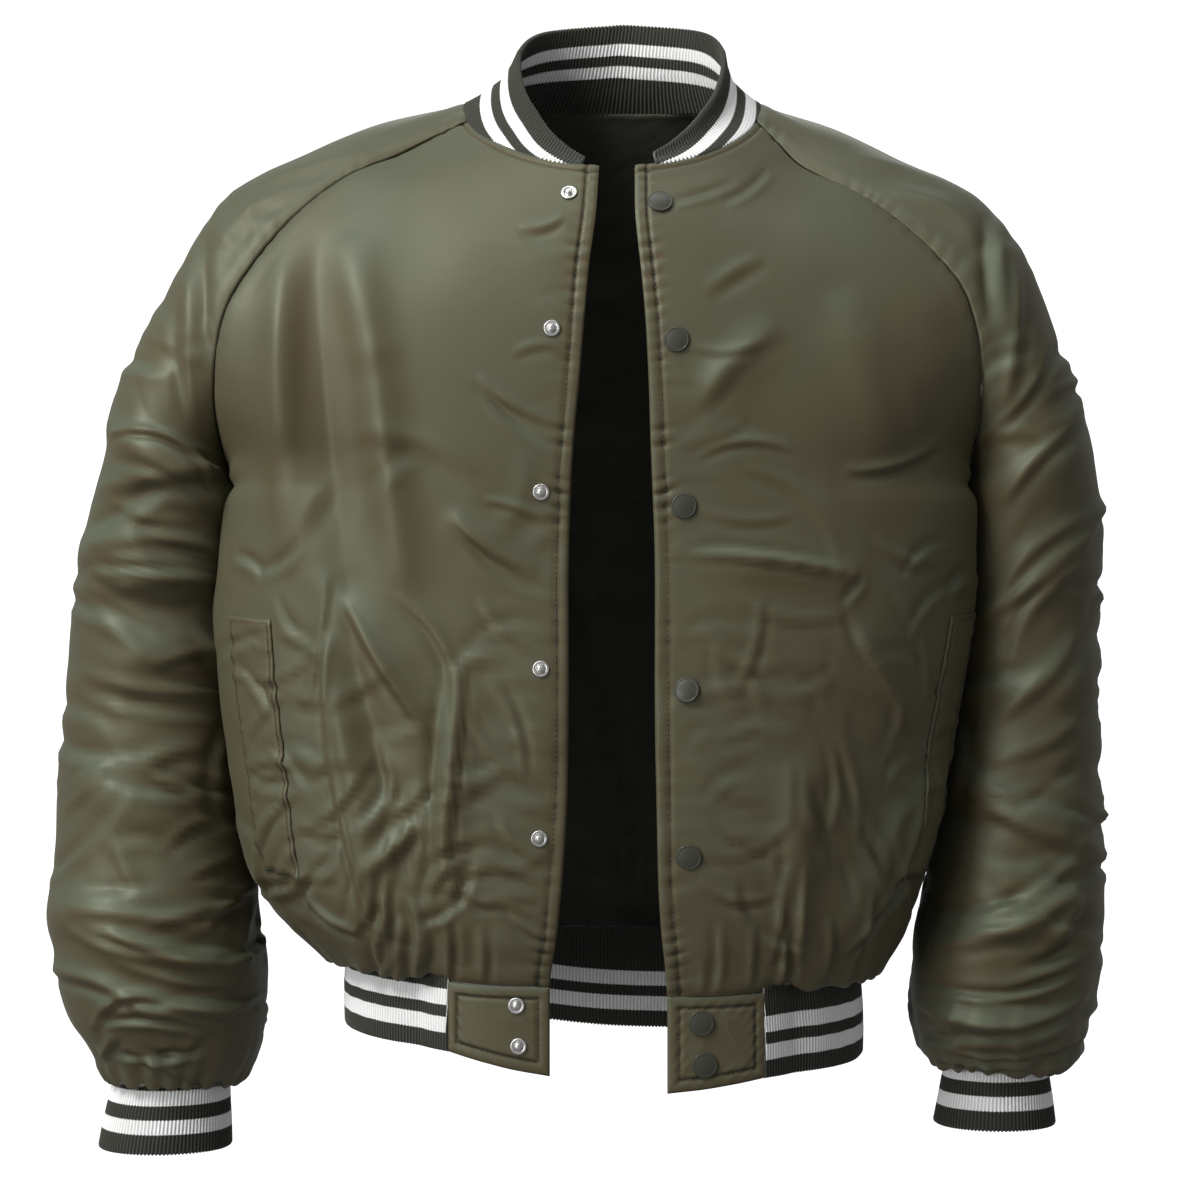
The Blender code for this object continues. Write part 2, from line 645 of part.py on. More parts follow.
def hem_rib(fronts, back, material):
    """The hem's rib, from one block round the back to the other."""
    right, left = fronts[RIGHT][-1, BLOCK_COLUMNS:], fronts[LEFT][-1, BLOCK_COLUMNS:]
    seam = np.concatenate([right, back[-1, 1:-1], left[::-1]])
    top = trim(resample(seam, 90), HEM_END_GAP, HEM_END_GAP)
    top -= outwards(top) * (WAVE + SEAM_GAP)
    top[:, 2] -= SEAM_GAP / 2
    bottom = top + outwards(top) * 1.5
    bottom[:, 2] = smooth(HEM_BOTTOM, np.linspace(0, len(HEM_BOTTOM) - 1, len(top)))
    length = np.linalg.norm(np.diff(top, axis=0), axis=1).sum()
    return knit_band("hem_rib", [top, bottom], int(length / RIB_PITCH), material)


def cuff(side, material):
    """One cuff, a closed band that opens out a little towards the hand."""
    turn = np.linspace(0, 2 * np.pi, 49)
    rows = []
    for x, y, half_width, half_depth, z in CUFFS[side]:
        ring_x, ring_y = side * x + half_width * np.sin(turn), y - half_depth * np.cos(turn)
        rows.append(np.stack([ring_x, ring_y, np.full(len(turn), float(z))], -1))
    length = np.pi * sum(CUFFS[side][1][2:4])
    return knit_band("cuff_" + name_of(side), rows, int(length / RIB_PITCH / 4) * 4, material, closed=True)


def collar(material):
    """The collar's rib, tallest at the back and tapering to its front ends."""
    angles = np.linspace(COLLAR_ENDS[LEFT], 360 - COLLAR_ENDS[RIGHT], 61)
    base = neckline(angles)
    out = outwards(base, (NECK_MIDDLE, 0.0))
    round_ = np.minimum(angles, 360 - angles)
    numbers = np.arange(LAST_COLLAR_ROW + 1)
    row = np.interp(round_, COLLAR("angle", numbers), numbers)
    rise, lean = COLLAR("rise", row)[:, None], np.radians(COLLAR("lean", row))[:, None]
    upward = np.array((0.0, 0.0, 1.0))
    foot = base + (upward * np.cos(lean) - out * np.sin(lean)) * SEAM_GAP - out * WAVE
    up = upward * rise * np.cos(lean) + np.array((COLLAR_SHIFT, 0, 0)) * rise / rise.max()
    inward = -out * rise * np.sin(lean)
    rows = [foot + up * high + inward * near for high, near in COLLAR_PROFILE]
    length = np.linalg.norm(np.diff(base, axis=0), axis=1).sum()
    return knit_band("collar_rib", rows, int(length / COLLAR_RIB_PITCH), material, middle=(NECK_MIDDLE, 0.0))


def hem_block(side, front, material):
    """The satin block at a front's end of the hem."""
    top = front[-1, : BLOCK_COLUMNS + 1]
    edge, end = BLOCK_BOTTOM[side]
    bottom = top.copy()
    bottom[:, 2] = np.linspace(edge, end, len(top))
    outer = np.array([top + (bottom - top) * share for share in np.linspace(0, 1, BLOCK_ROWS + 1)])
    normals = face_normals(outer, -side)
    normals /= np.linalg.norm(normals, axis=-1, keepdims=True)
    outer = outer + seam_shift(outer)
    inner = (outer - normals * WALL)[::2, ::2]
    return outer, inner, wall("hem_placket_" + name_of(side), outer, inner, material)


def welt(side, outer, normals, material):
    """A pocket's welt, laid on the front from the front's own points."""
    rows, columns = WELT_ROWS, WELT_COLUMNS[side]
    part = np.s_[rows[0] : rows[1] + 1, columns[0] : columns[1] + 1]
    under = outer[part] + normals[part] * WELT_LIFT
    return wall("pocket_welt_" + name_of(side), under + normals[part] * WELT_WALL, under, material)


def surface_at(grid, x, z):
    """The point and the normal of a front's or a block's facets at an x and z of the front view."""
    for r in range(len(grid) - 1):
        for c in range(grid.shape[1] - 1):
            a, b, d, e = grid[r, c], grid[r, c + 1], grid[r + 1, c + 1], grid[r + 1, c]
            for corners in ((a, b, d), (a, d, e)):
                flat = np.array([[p[0], p[2], 1] for p in corners]).T
                if abs(np.linalg.det(flat)) < 1e-9:
                    continue
                share = np.linalg.solve(flat, (x, z, 1))
                if share.min() >= -1e-9:
                    normal = np.cross(corners[1] - corners[0], corners[2] - corners[0])
                    normal *= -np.sign(normal[1]) / np.linalg.norm(normal)
                    return share @ np.array(corners), normal
    raise ValueError(f"no cloth at {x}, {z}")


def snap(name, profile, grid, x, z, facing, material):
    """A turned fitting that sits on the cloth: facing is 1 outside it and -1 inside it."""
    point, normal = surface_at(grid, x, z)
    radius = max(r for r, _ in profile)
    lift = 0.0
    for turn in np.linspace(0, 2 * np.pi, 13)[:-1]:
        try:
            near, _ = surface_at(grid, x + radius * np.cos(turn), z + radius * np.sin(turn))
        except ValueError:
            continue
        lift = max(lift, facing * ((near - point) @ normal))
    mesh = bmesh.new()
    line = [mesh.verts.new((r * MM, 0, h * MM)) for r, h in profile]
    edges = [mesh.edges.new(pair) for pair in zip(line, line[1:])]
    bmesh.ops.spin(
        mesh,
        geom=line + edges,
        cent=(0, 0, 0),
        axis=(0, 0, 1),
        angle=2 * np.pi,
        steps=SNAP_STEPS,
        use_merge=True,
    )
    bmesh.ops.remove_doubles(mesh, verts=mesh.verts, dist=1e-6)
    made = finish(name, mesh, material)
    aim = Vector(normal * facing)
    seat = Vector((point + normal * facing * (lift + SNAP_LIFT)) * MM)
    made.matrix_world = Matrix.Translation(seat) @ aim.to_track_quat("Z", "Y").to_matrix().to_4x4()
    return made


def main():
    for old in list(bpy.data.objects):
        bpy.data.objects.remove(old, do_unlink=True)
    pieces = ("front", "back", "sleeve", "block", "welt")
    satin = {piece: finish_material("satin_" + piece, OLIVE, 0.42) for piece in pieces}
    rib = finish_material("rib", OLIVE_RIB, 0.85)
    steel = finish_material("stud", STEEL, 0.25, 1.0)
    metals = {"steel": steel, "enamel": finish_material("cap", ENAMEL, 0.3)}

    base, outward, lift, closed = {}, {}, {}, {}
    for side in (RIGHT, LEFT):
        front, sleeve = front_grid(side), sleeve_grid(side)
        base["front_panel_" + name_of(side)] = front
        base["sleeve_" + name_of(side)] = sleeve
        outward["front_panel_" + name_of(side)] = -side
        outward["sleeve_" + name_of(side)] = -side
        view = (side, 1, 1)
        folds = folds_on(front * view, FRONT_FOLDS[side], border_fade(front.shape))
        gathers = gathers_on(front.shape, GATHER_ROWS, HEM_GATHER, BLOCK_COLUMNS)
        lift["front_panel_" + name_of(side)] = folds + gathers
        folds = folds_on(sleeve * view, SLEEVE_FOLDS[side], border_fade(sleeve.shape, UPPER_ROWS))
        gathers = gathers_on(sleeve.shape, GATHER_ROWS, CUFF_GATHER)
        lift["sleeve_" + name_of(side)] = folds + gathers
        closed["sleeve_" + name_of(side)] = UPPER_ROWS
    back = base["back_panel"] = back_grid()
    outward["back_panel"] = 1
    folds = folds_on(back, BACK_FOLDS, border_fade(back.shape))
    lift["back_panel"] = folds + gathers_on(back.shape, GATHER_ROWS, HEM_GATHER)
    normals = shared_normals(base, outward)

    outer, inner = {}, {}
    for name, grid in base.items():
        shift = seam_shift(grid, closed.get(name))
        outer[name] = grid + normals[name] * lift[name][..., None] + shift
        kind = name.split("_")[0]
        inner[name] = (outer[name] - normals[name] * CORNER_WALL[kind])[::2, ::2]
        wall(name, outer[name], inner[name], satin[kind], closed.get(name))

    fronts = {side: base["front_panel_" + name_of(side)] for side in (RIGHT, LEFT)}
    hem_rib(fronts, back, rib)
    collar(rib)
    for side in (RIGHT, LEFT):
        places, word, profile, metal = SNAPS[side]
        cuff(side, rib)
        panel = "front_panel_" + name_of(side)
        welt(side, outer[panel], normals[panel], satin["welt"])
        block_outer, block_inner, _ = hem_block(side, fronts[side], satin["block"])
        for number, (x, z) in enumerate(places, 1):
            on_front = number <= SNAPS_ON_FRONT
            cloth = outer[panel] if on_front else block_outer
            snap(f"snap_{word}_{number}", profile, cloth, side * x, z, 1, metals[metal])
            if side == LEFT:
                cloth = inner[panel] if on_front else block_inner
                snap(f"snap_socket_{number}", SOCKET, cloth, side * x, z, -1, steel)


main()
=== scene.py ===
"""The looks of a varsity jacket, worn open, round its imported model.

Metres, +Z up, in the part's own frame: the wearer faces -Y, and X < 0 is the wearer's right.
The tables are in millimetres. A table's x runs outwards from the middle of the jacket, on either side.
"""

import math

import bmesh
import bpy
import numpy as np
from mathutils import Matrix, Vector


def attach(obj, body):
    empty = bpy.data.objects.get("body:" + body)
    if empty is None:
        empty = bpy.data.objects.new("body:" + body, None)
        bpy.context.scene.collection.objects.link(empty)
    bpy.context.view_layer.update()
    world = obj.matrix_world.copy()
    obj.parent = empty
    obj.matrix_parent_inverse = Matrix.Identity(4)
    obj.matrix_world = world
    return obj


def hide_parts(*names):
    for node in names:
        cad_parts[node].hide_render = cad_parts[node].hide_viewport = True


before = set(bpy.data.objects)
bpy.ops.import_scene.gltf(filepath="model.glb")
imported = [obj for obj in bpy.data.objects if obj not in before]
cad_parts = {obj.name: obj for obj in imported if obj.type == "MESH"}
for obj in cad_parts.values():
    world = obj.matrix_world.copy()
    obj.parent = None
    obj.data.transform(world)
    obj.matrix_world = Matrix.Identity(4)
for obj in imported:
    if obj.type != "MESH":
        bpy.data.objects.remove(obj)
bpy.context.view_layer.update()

MM = 0.001
RIGHT, LEFT = -1, 1  # the wearer's sides, as signs of X

WAVE = 0.45  # how far a knit rib rises above, and its valley sinks below, the band
SEAM_GAP = 0.4

NECK_MIDDLE = 3.0  # the neck sits a little to the wearer's left of the fronts
NECK_HALF_WIDTH, NECK_FRONT, NECK_BACK = 99.0, 100.0, 75.0
NECK_DROP, NECK_RISE = 55.0, 5.0  # front neck point below, back neck point above, the side neck points
RAGLAN_FRONT_ANGLE, RAGLAN_BACK_ANGLE = 75.0, 145.0  # round the neckline from the middle of the front

FRONT_COLUMNS, BLOCK_COLUMNS, BLOCK_SHARE = 18, 4, 0.26  # columns of a front, and those over a hem block
BACK_COLUMNS, SLEEVE_COLUMNS = 32, 22
UPPER_ROWS, BODY_ROWS, SLEEVE_ROWS = 14, 14, 18  # neck to underarm, underarm to hem, underarm to cuff

BLOCK_BOTTOM = {RIGHT: (-634.0, -619.0), LEFT: (-645.0, -636.0)}  # at the front edge, at the rib
HEM_BOTTOM = (-619.0, -614.0, -616.0, -632.0, -633.0, -634.0, -636.0)  # round the rib from right to left


SNAPS_ON_FRONT = 5
# x and z of each snap, from the neck down; the last two are on the hem blocks
STUDS = (
    (25.4, -75),
    (35.3, -162.7),
    (42.6, -266.3),
    (42, -376.7),
    (44.5, -483.3),
    (57.8, -589),
    (57.2, -615),
)
CAPS = (
    (33, -80.4),
    (42.8, -170),
    (48.3, -275.7),
    (48.9, -388.6),
    (50.8, -493.4),
    (57.8, -600),
    (60.9, -627),
)


def smooth(values, at):
    """A smooth curve through rows of values, read at row numbers."""
    values = np.asarray(values, float)
    at = np.clip(np.atleast_1d(np.asarray(at, float)), 0, len(values) - 1)
    row = np.minimum(at.astype(int), len(values) - 2)
    part = at - row
    ends = [2 * values[0] - values[1]], [2 * values[-1] - values[-2]]
    values = np.concatenate([ends[0], values, ends[1]])
    if values.ndim > 1:
        part = part.reshape(-1, *[1] * (values.ndim - 1))
    a, b, c, d = (values[row + step] for step in range(4))
    curve = 2 * b + (c - a) * part + (2 * a - 5 * b + 4 * c - d) * part**2 + (3 * b - a - 3 * c + d) * part**3
    return curve / 2


def table(columns, *rows):
    """Rows under named columns, read by name at row numbers; a vector's name reads its x, y and z."""
    names, rows = columns.split(), np.array(rows, float)

    def read(name, at):
        wanted = [name] if name in names else [f"{name}_{axis}" for axis in "xyz"]
        found = [names.index(word) for word in wanted]
        values = smooth(rows[:, found], at)
        return values[:, 0] if len(found) == 1 else values

    return read


# From the neck (row 0) to the underarm (row 7): the raglan seams, the line along the top of the sleeve,
# and the angle at which the sleeve's section meets its seams, 90 for half round and -90 for a closed loop.
ARMHOLE_COLUMNS = "front_x front_y front_z top_x top_y top_z back_x back_y back_z wrap"
ARMHOLE = {
    RIGHT: table(
        ARMHOLE_COLUMNS,
        (93, -26, -13, 97, 12, 1, 54, 61, 4, 40),
        (139, -50, -41, 150, 8, -12, 100, 84, -16, 38),
        (171, -66, -57, 203, 5, -36, 150, 98, -48, 36),
        (210, -84, -92, 253, 2, -64, 195, 106, -92, 34),
        (244, -96, -141, 283, 0, -112, 232, 106, -145, 24),
        (254, -92, -187, 312, 0, -162, 250, 92, -195, 0),
        (252, -60, -234, 328, 0, -200, 251, 62, -238, -48),
        (238, 0, -266, 334, 0, -230, 238, 0, -266, -90),
    ),
    LEFT: table(
        ARMHOLE_COLUMNS,
        (99, -26, -13, 101, 12, 1, 60, 61, 4, 40),
        (125, -46, -46, 150, 8, -15, 104, 84, -16, 38),
        (159, -62, -66, 203, 5, -42, 150, 98, -50, 36),
        (190, -76, -89, 247, 2, -65, 192, 106, -94, 34),
        (227, -92, -130, 276, 0, -105, 224, 106, -142, 24),
        (240, -92, -178, 300, 0, -162, 240, 92, -192, 0),
        (240, -60, -232, 315, 0, -204, 241, 62, -238, -48),
        (230, 0, -266, 322, 0, -236, 230, 0, -266, -90),
    ),
}
UNDERARM_ROW, UNDERARM_DEPTH = 7, 92.0

# The fronts and back beside those rows: the front edge, the middle of the back, and how round the row is.
CHEST = table(
    "right_edge left_edge edge_y edge_z back_y back_z round side_lift",
    (6, 17, -100, -55, 75, 5, 2.0, 0),
    (8, 17, -119, -88, 92, -34, 2.0, 0),
    (12, 20, -130, -120, 104, -72, 2.1, 0),
    (15, 23, -137, -154, 113, -116, 2.3, 0),
    (18, 25, -141, -192, 119, -160, 2.45, 0),
    (21, 26, -143, -224, 123, -202, 2.5, 0),
    (23, 27, -144, -252, 125, -240, 2.5, 2),
    (24, 28, -144, -275, 126, -268, 2.5, 30),
)

# From the underarm (row 0) to the hem seam (row 9), where the cloth hangs over the rib: the sides before
# the sleeves press them in, the depths, the front edge and the heights. flat_ is beside a hem block.
BODY = table(
    "right_side left_side right_edge left_edge front_y flat_y back_y flat_z front_z right_z left_z back_z",
    (268, 260, 24, 28, -144, -144, 126, -275, -275, -266, -266, -268),
    (270, 256, 25, 29, -145, -145, 127, -310, -310, -300, -300, -302),
    (268, 250, 25, 29, -147, -147, 126, -355, -355, -345, -345, -347),
    (262, 238, 25, 29, -148, -148, 125, -410, -410, -400, -402, -405),
    (254, 226, 26, 30, -148, -148, 124, -462, -462, -455, -460, -460),
    (245, 214, 29, 31, -147, -147, 122, -510, -510, -502, -508, -508),
    (224, 204, 32, 33, -145, -144, 119, -541, -545, -536, -544, -543),
    (201, 191, 34, 35, -140, -141, 114, -556, -567, -559, -568, -566),
    (185, 179, 36, 36, -133, -138, 107, -567, -579, -572, -582, -578),
    (175, 169, 37, 37, -124, -136, 97, -578, -569, -561, -571, -567),
)
SEAM_DROP = {RIGHT: 0.0, LEFT: -6.0}  # the left front hangs a little lower at the hem

# From the underarm (row 0) to the cuff seam (row 12), tucked up inside the bloused end.
SLEEVE_LINE = "inner_x inner_z outer_x outer_z depth middle_y"
SLEEVE = {
    RIGHT: table(
        SLEEVE_LINE,
        (238, -266, 334, -230, 92, 0),
        (237, -300, 346, -272, 88, 8),
        (238, -338, 356, -320, 84, 14),
        (239, -385, 363, -375, 81, 16),
        (240, -440, 368, -436, 80, 14),
        (239, -495, 371, -494, 80, 9),
        (235, -545, 374, -546, 82, 2),
        (230, -585, 368, -584, 78, -3),
        (230, -612, 359, -612, 72, -5),
        (233, -634, 345, -633, 62, -6),
        (241, -649, 341, -645, 54, -6),
        (249, -656, 333, -655, 48, -6),
        (252, -642, 330, -642, 43, -6),
    ),
    LEFT: table(
        SLEEVE_LINE,
        (230, -266, 322, -236, 92, 0),
        (229, -300, 329, -285, 88, 8),
        (231, -338, 331, -330, 85, 14),
        (230, -385, 330, -382, 82, 16),
        (225, -440, 330, -440, 80, 14),
        (218, -495, 332, -495, 79, 9),
        (210, -545, 330, -548, 80, 2),
        (203, -585, 327, -588, 76, -3),
        (203, -610, 323, -612, 70, -5),
        (206, -627, 317, -630, 60, -6),
        (214, -638, 311, -642, 51, -6),
        (221, -645, 299, -647, 44, -6),
        (227, -633, 294, -633, 39, -6),
    ),
}
LAST_SLEEVE_ROW, LAST_BODY_ROW = 12, 9
SLEEVE_ROUND, BODY_ROUND = 2.2, 2.5
PRESS_GAP, PRESS_SOFT = 3.5, 5.0  # how far the side stays off the sleeve, and how softly it is pressed in

# Cuffs: middle, half width, half depth and height, at the seam and at the open end.
CUFFS = {
    RIGHT: ((291, -6, 37.2, 41.2, -642.5), (296.5, -7, 44.5, 46, -698)),
    LEFT: ((260.5, -6, 32.4, 37.8, -633.5), (258.7, -7, 40.5, 43, -683)),
}

# The collar's rise and its lean towards the neck, round from its front ends to the back.
COLLAR = table(
    "angle rise lean",
    (12, 7, 40),
    (25, 18, 38),
    (45, 33, 36),
    (70, 43, 38),
    (100, 48, 38),
    (140, 56, 24),
    (180, 60, 14),
)
LAST_COLLAR_ROW = 6
COLLAR_ENDS = {RIGHT: 12.5, LEFT: 16.5}
COLLAR_SHIFT = 8.0  # its top stands a little to the wearer's left
COLLAR_PROFILE = ((1, 1), (0.42, 0.7), (0, 0))  # top to seam: shares of the rise, and of the lean inwards

# The largest folds, as soft ridges along a line in the front view: x0 z0 x1 z1 half-width height.
FRONT_FOLDS = {
    RIGHT: (
        (168, -108, 150, -180, 14, 5),
        (150, -180, 131, -315, 14, 5),
        (212, -133, 202, -296, 15, 4),
        (96, -284, 49, -315, 9, 4),
        (165, -340, 118, -409, 11, 6),
        (178, -370, 146, -540, 11, 6),
        (92, -377, 103, -502, 10, 5),
        (111, -469, 150, -504, 10, 4),
    ),
    LEFT: (
        (58, -208, 102, -164, 14, 4),
        (43, -306, 154, -318, 10, 4),
        (158, -359, 187, -413, 12, 5),
        (118, -447, 121, -548, 12, 5),
        (206, -453, 155, -548, 14, 7),
        (150, -150, 178, -235, 16, 4),
    ),
}
SLEEVE_FOLDS = {
    RIGHT: (
        (327, -221, 263, -254, 12, 5),
        (345, -300, 262, -321, 14, 6),
        (320, -374, 250, -362, 12, 5),
        (354, -538, 247, -578, 14, 8),
        (325, -594, 252, -606, 10, 6),
        (350, -450, 280, -480, 14, 4),
    ),
    LEFT: (
        (268, -101, 261, -201, 16, 4),
        (331, -274, 255, -347, 13, 5),
        (235, -454, 325, -501, 13, 6),
        (221, -564, 311, -526, 14, 7),
        (215, -607, 308, -620, 10, 6),
        (318, -380, 262, -400, 14, 4),
    ),
}
BACK_FOLDS = (
    (-150, -120, -112, -420, 16, 5),
    (152, -112, 120, -430, 16, 5),
    (-58, -300, -76, -520, 13, 5),
    (68, -320, 60, -530, 13, 5),
    (-192, -330, -150, -530, 15, 6),
    (186, -350, 148, -540, 15, 6),
    (-90, -95, 84, -99, 16, 3),
    (-20, -380, 8, -520, 12, 4),
)


def name_of(side):
    return "right" if side == RIGHT else "left"


def neckline(angle):
    """The seam of the collar, at angles round from the middle of the front, positive to the left."""
    turn = np.radians(angle)
    front = np.cos(turn)
    y = np.where(front > 0, -NECK_FRONT, -NECK_BACK) * front
    z = np.where(front > 0, -NECK_DROP, -NECK_RISE) * front
    return np.stack([NECK_MIDDLE + NECK_HALF_WIDTH * np.sin(turn), y, z], -1)


def armhole(side, at):
    """Raglan seams, middle, way across, half depth, wrap and top line at rows of the armhole table."""
    read = ARMHOLE[side]
    rows = np.arange(UNDERARM_ROW + 1)
    front, back, wrap = read("front", rows), read("back", rows), np.radians(read("wrap", rows))
    across = (front - back)[:-1] / 2
    half = np.linalg.norm(across, axis=1)
    depth = np.append(half / round_cos(wrap[:-1]), UNDERARM_DEPTH)
    way = np.vstack([across / half[:, None], (0.0, -1.0, 0.0)])
    middle, way, depth, wrap = (smooth(values, at) for values in ((front + back) / 2, way, depth, wrap))
    way /= np.linalg.norm(way, axis=1)[:, None]
    wrap = np.clip(wrap, -np.pi / 2, None)
    reach = way * (depth * round_cos(wrap))[:, None]
    return middle + reach, middle - reach, middle, way, depth, wrap, read("top", at)


def round_cos(angle):
    cosine = np.cos(angle)
    return np.sign(cosine) * np.abs(cosine) ** (2 / SLEEVE_ROUND)


def round_sin(angle):
    sine = np.sin(angle)
    return np.sign(sine) * np.abs(sine) ** (2 / SLEEVE_ROUND)


def section(middle, outer, way, depth, wrap, columns):
    """A row round the sleeve, from its front seam over the outside to its back seam."""
    outward = (outer - middle) / (1 - round_sin(wrap))
    centre = outer - outward
    angle = np.linspace(wrap, np.pi - wrap, columns + 1)[:, None]
    return centre + way * depth * round_cos(angle) + outward * round_sin(angle)


def sleeve_grid(side):
    """The sleeve's surface as rows from the neck to the cuff, closed from the underarm down."""
    at = np.linspace(0, UNDERARM_ROW, UPPER_ROWS + 1)
    _, _, middle, way, depth, wrap, top = armhole(side, at)
    rows = [section(*row, SLEEVE_COLUMNS) for row in zip(middle, top, way, depth, wrap)]
    angles = np.linspace(RAGLAN_FRONT_ANGLE, RAGLAN_BACK_ANGLE, SLEEVE_COLUMNS + 1) * side
    edge = neckline(angles) * (side, 1, 1) - rows[0]
    for row, step in zip(rows, at):
        row += edge * max(0.0, 1 - step / 1.5) ** 2
    read = SLEEVE[side]
    lower = np.linspace(0, LAST_SLEEVE_ROW, SLEEVE_ROWS + 1)[1:]
    y, depth = read("middle_y", lower), read("depth", lower)
    inner = np.stack([read("inner_x", lower), y, read("inner_z", lower)], -1)
    outer = np.stack([read("outer_x", lower), y, read("outer_z", lower)], -1)
    for inside, outside, deep in zip(inner, outer, depth):
        rows.append(section(inside, outside, np.array((0.0, -1.0, 0.0)), deep, -np.pi / 2, SLEEVE_COLUMNS))
    return np.array(rows) * (side, 1, 1)


def press(points, side, rows_below):
    """Presses the side of the body in, clear of the sleeve that hangs beside it."""
    read = SLEEVE[side]
    rows = np.linspace(0, LAST_SLEEVE_ROW - 2, 60)
    heights = -read("inner_z", rows)
    deep = np.interp(-points[..., 2], heights, read("depth", rows))
    inner, outer = (np.interp(-points[..., 2], heights, read(n, rows)) for n in ("inner_x", "outer_x"))
    across = np.abs(points[..., 1] - np.interp(-points[..., 2], heights, read("middle_y", rows))) / deep
    width = (outer - inner) / 2
    swell = (1 - np.clip(across, 0, 1) ** SLEEVE_ROUND) ** (1 / SLEEVE_ROUND)
    below = np.clip(-points[..., 2] - heights[0], 0, None)
    gap = PRESS_GAP * (1 - np.exp(-(below + np.abs(points[..., 1]) / 3) / 8))
    limit = inner + width * (1 - swell) - gap
    room = limit - points[..., 0]
    pressed = limit - (room + np.sqrt(room**2 + PRESS_SOFT**2)) / 2
    share = np.clip(rows_below, 0, 1)
    pressed = np.where(across < 1.3, pressed, points[..., 0])
    points[..., 0] += (pressed - points[..., 0]) * share
    return points


def column_angles(columns, full):
    """Shares of a front's row: the first columns lie over the hem block."""
    if not full:
        return np.linspace(0, 1, columns + 1)
    block = np.linspace(0, BLOCK_SHARE, BLOCK_COLUMNS + 1)
    return np.append(block[:-1], np.linspace(BLOCK_SHARE, 1, columns - BLOCK_COLUMNS + 1))


def arc(edge, border, roundness, shares):
    """A row from the middle of the body, square to X, round to its border at a side."""
    part = border[1] / edge[1] if border[1] * edge[1] > 0 else 0.0
    end = np.arccos(part ** (roundness / 2))
    wide = (border[0] - edge[0]) / np.sin(end) ** (2 / roundness)
    angle = end * shares
    x = edge[0] + wide * np.sin(angle) ** (2 / roundness)
    y = edge[1] * np.cos(angle) ** (2 / roundness)
    rise = (np.sin(angle) / np.sin(end)) ** 2
    return np.stack([x, y, edge[2] + (border[2] - edge[2]) * rise], -1)


def side_seam(side, at):
    """The side seam below the underarm, pressed in by the sleeve."""
    word = name_of(side)
    seam = np.stack([BODY(word + "_side", at), np.zeros(len(at)), BODY(word + "_z", at)], -1)
    return press(seam, side, np.minimum(at * 4 + 1, 1))


def half_rows(side, front):
    """The rows of a front, or of half of the back, from the neck to the hem, with x outwards."""
    word = name_of(side)
    upper = np.linspace(0, UNDERARM_ROW, UPPER_ROWS + 1)
    lower = np.linspace(0, LAST_BODY_ROW, BODY_ROWS + 1)[1:]
    shares = column_angles(FRONT_COLUMNS, True) if front else column_angles(BACK_COLUMNS // 2, False)
    front_seam, back_seam, *_ = armhole(side, upper)
    seam = front_seam if front else back_seam
    rows = []
    if front:
        edges = np.stack([CHEST(word + "_edge", upper), CHEST("edge_y", upper), CHEST("edge_z", upper)], -1)
    else:
        edges = np.stack([np.zeros(len(upper)), CHEST("back_y", upper), CHEST("back_z", upper)], -1)
    for at, edge, border, lift, roundness in zip(
        upper, edges, seam, CHEST("side_lift", upper), CHEST("round", upper)
    ):
        row = arc(edge, border + (lift, 0, 0), roundness, shares)
        row = press(row, side, np.clip((at - 5.5) / 1.5, 0, 1) * np.ones(len(row)))
        rows.append(row + (border - row[-1]) * shares[:, None] ** 6)
    start = np.degrees(np.arcsin((rows[0][0][0] - NECK_MIDDLE * side) / NECK_HALF_WIDTH)) if front else 180.0
    end = RAGLAN_FRONT_ANGLE if front else RAGLAN_BACK_ANGLE
    edge = neckline(side * (start + (end - start) * shares)) * (side, 1, 1)
    if not front:
        edge[:, 0] -= NECK_MIDDLE * side * (1 - shares) ** 2
    change = edge - rows[0]
    for row, at in zip(rows, upper):
        row += change * max(0.0, 1 - at / 1.5) ** 2
    borders = side_seam(side, lower)
    for at, border in zip(lower, borders):
        virtual = np.array((BODY(word + "_side", at)[0], 0.0, border[2]))
        hang = np.clip((at - 5) / 3, 0, 1)
        if front:
            drop = SEAM_DROP[side] * hang
            edge = np.array([BODY(name, at)[0] for name in (word + "_edge", "front_y", "front_z")])
            edge[2] += drop
            flat = np.array((edge[0], BODY("flat_y", at)[0], BODY("flat_z", at)[0] + drop))
            row = arc(edge, virtual, BODY_ROUND, shares)
            block = arc(flat, virtual, BODY_ROUND, shares)
            away = np.clip((shares - BLOCK_SHARE) / 0.12, 0, 1)
            away = (away**2 * (3 - 2 * away))[:, None]
            row = block * (1 - away) + row * away
        else:
            middle = np.array((0.0, BODY("back_y", at)[0], BODY("back_z", at)[0]))
            row = arc(middle, virtual, BODY_ROUND, shares)
        row = press(row, side, np.ones(len(row)))
        rows.append(row + (border - row[-1]) * shares[:, None] ** 6)
    return np.array(rows) * (side, 1, 1)


def front_grid(side):
    return half_rows(side, True)


def back_grid():
    right, left = half_rows(RIGHT, False), half_rows(LEFT, False)
    return np.concatenate([right[:, ::-1], left[:, 1:]], axis=1)


def ridge(x, z, fold):
    """How high one soft fold stands at each x and z of the front view."""
    x0, z0, x1, z1, width, height = fold
    way = np.array((x1 - x0, z1 - z0), float)
    share = ((x - x0) * way[0] + (z - z0) * way[1]) / (way @ way)
    near = np.clip(share, 0, 1)
    away = np.hypot(x - x0 - near * way[0], z - z0 - near * way[1])
    return height * np.exp(-((away / width) ** 2)) * np.sin(np.pi * np.clip(0.15 + 0.7 * share, 0, 1))


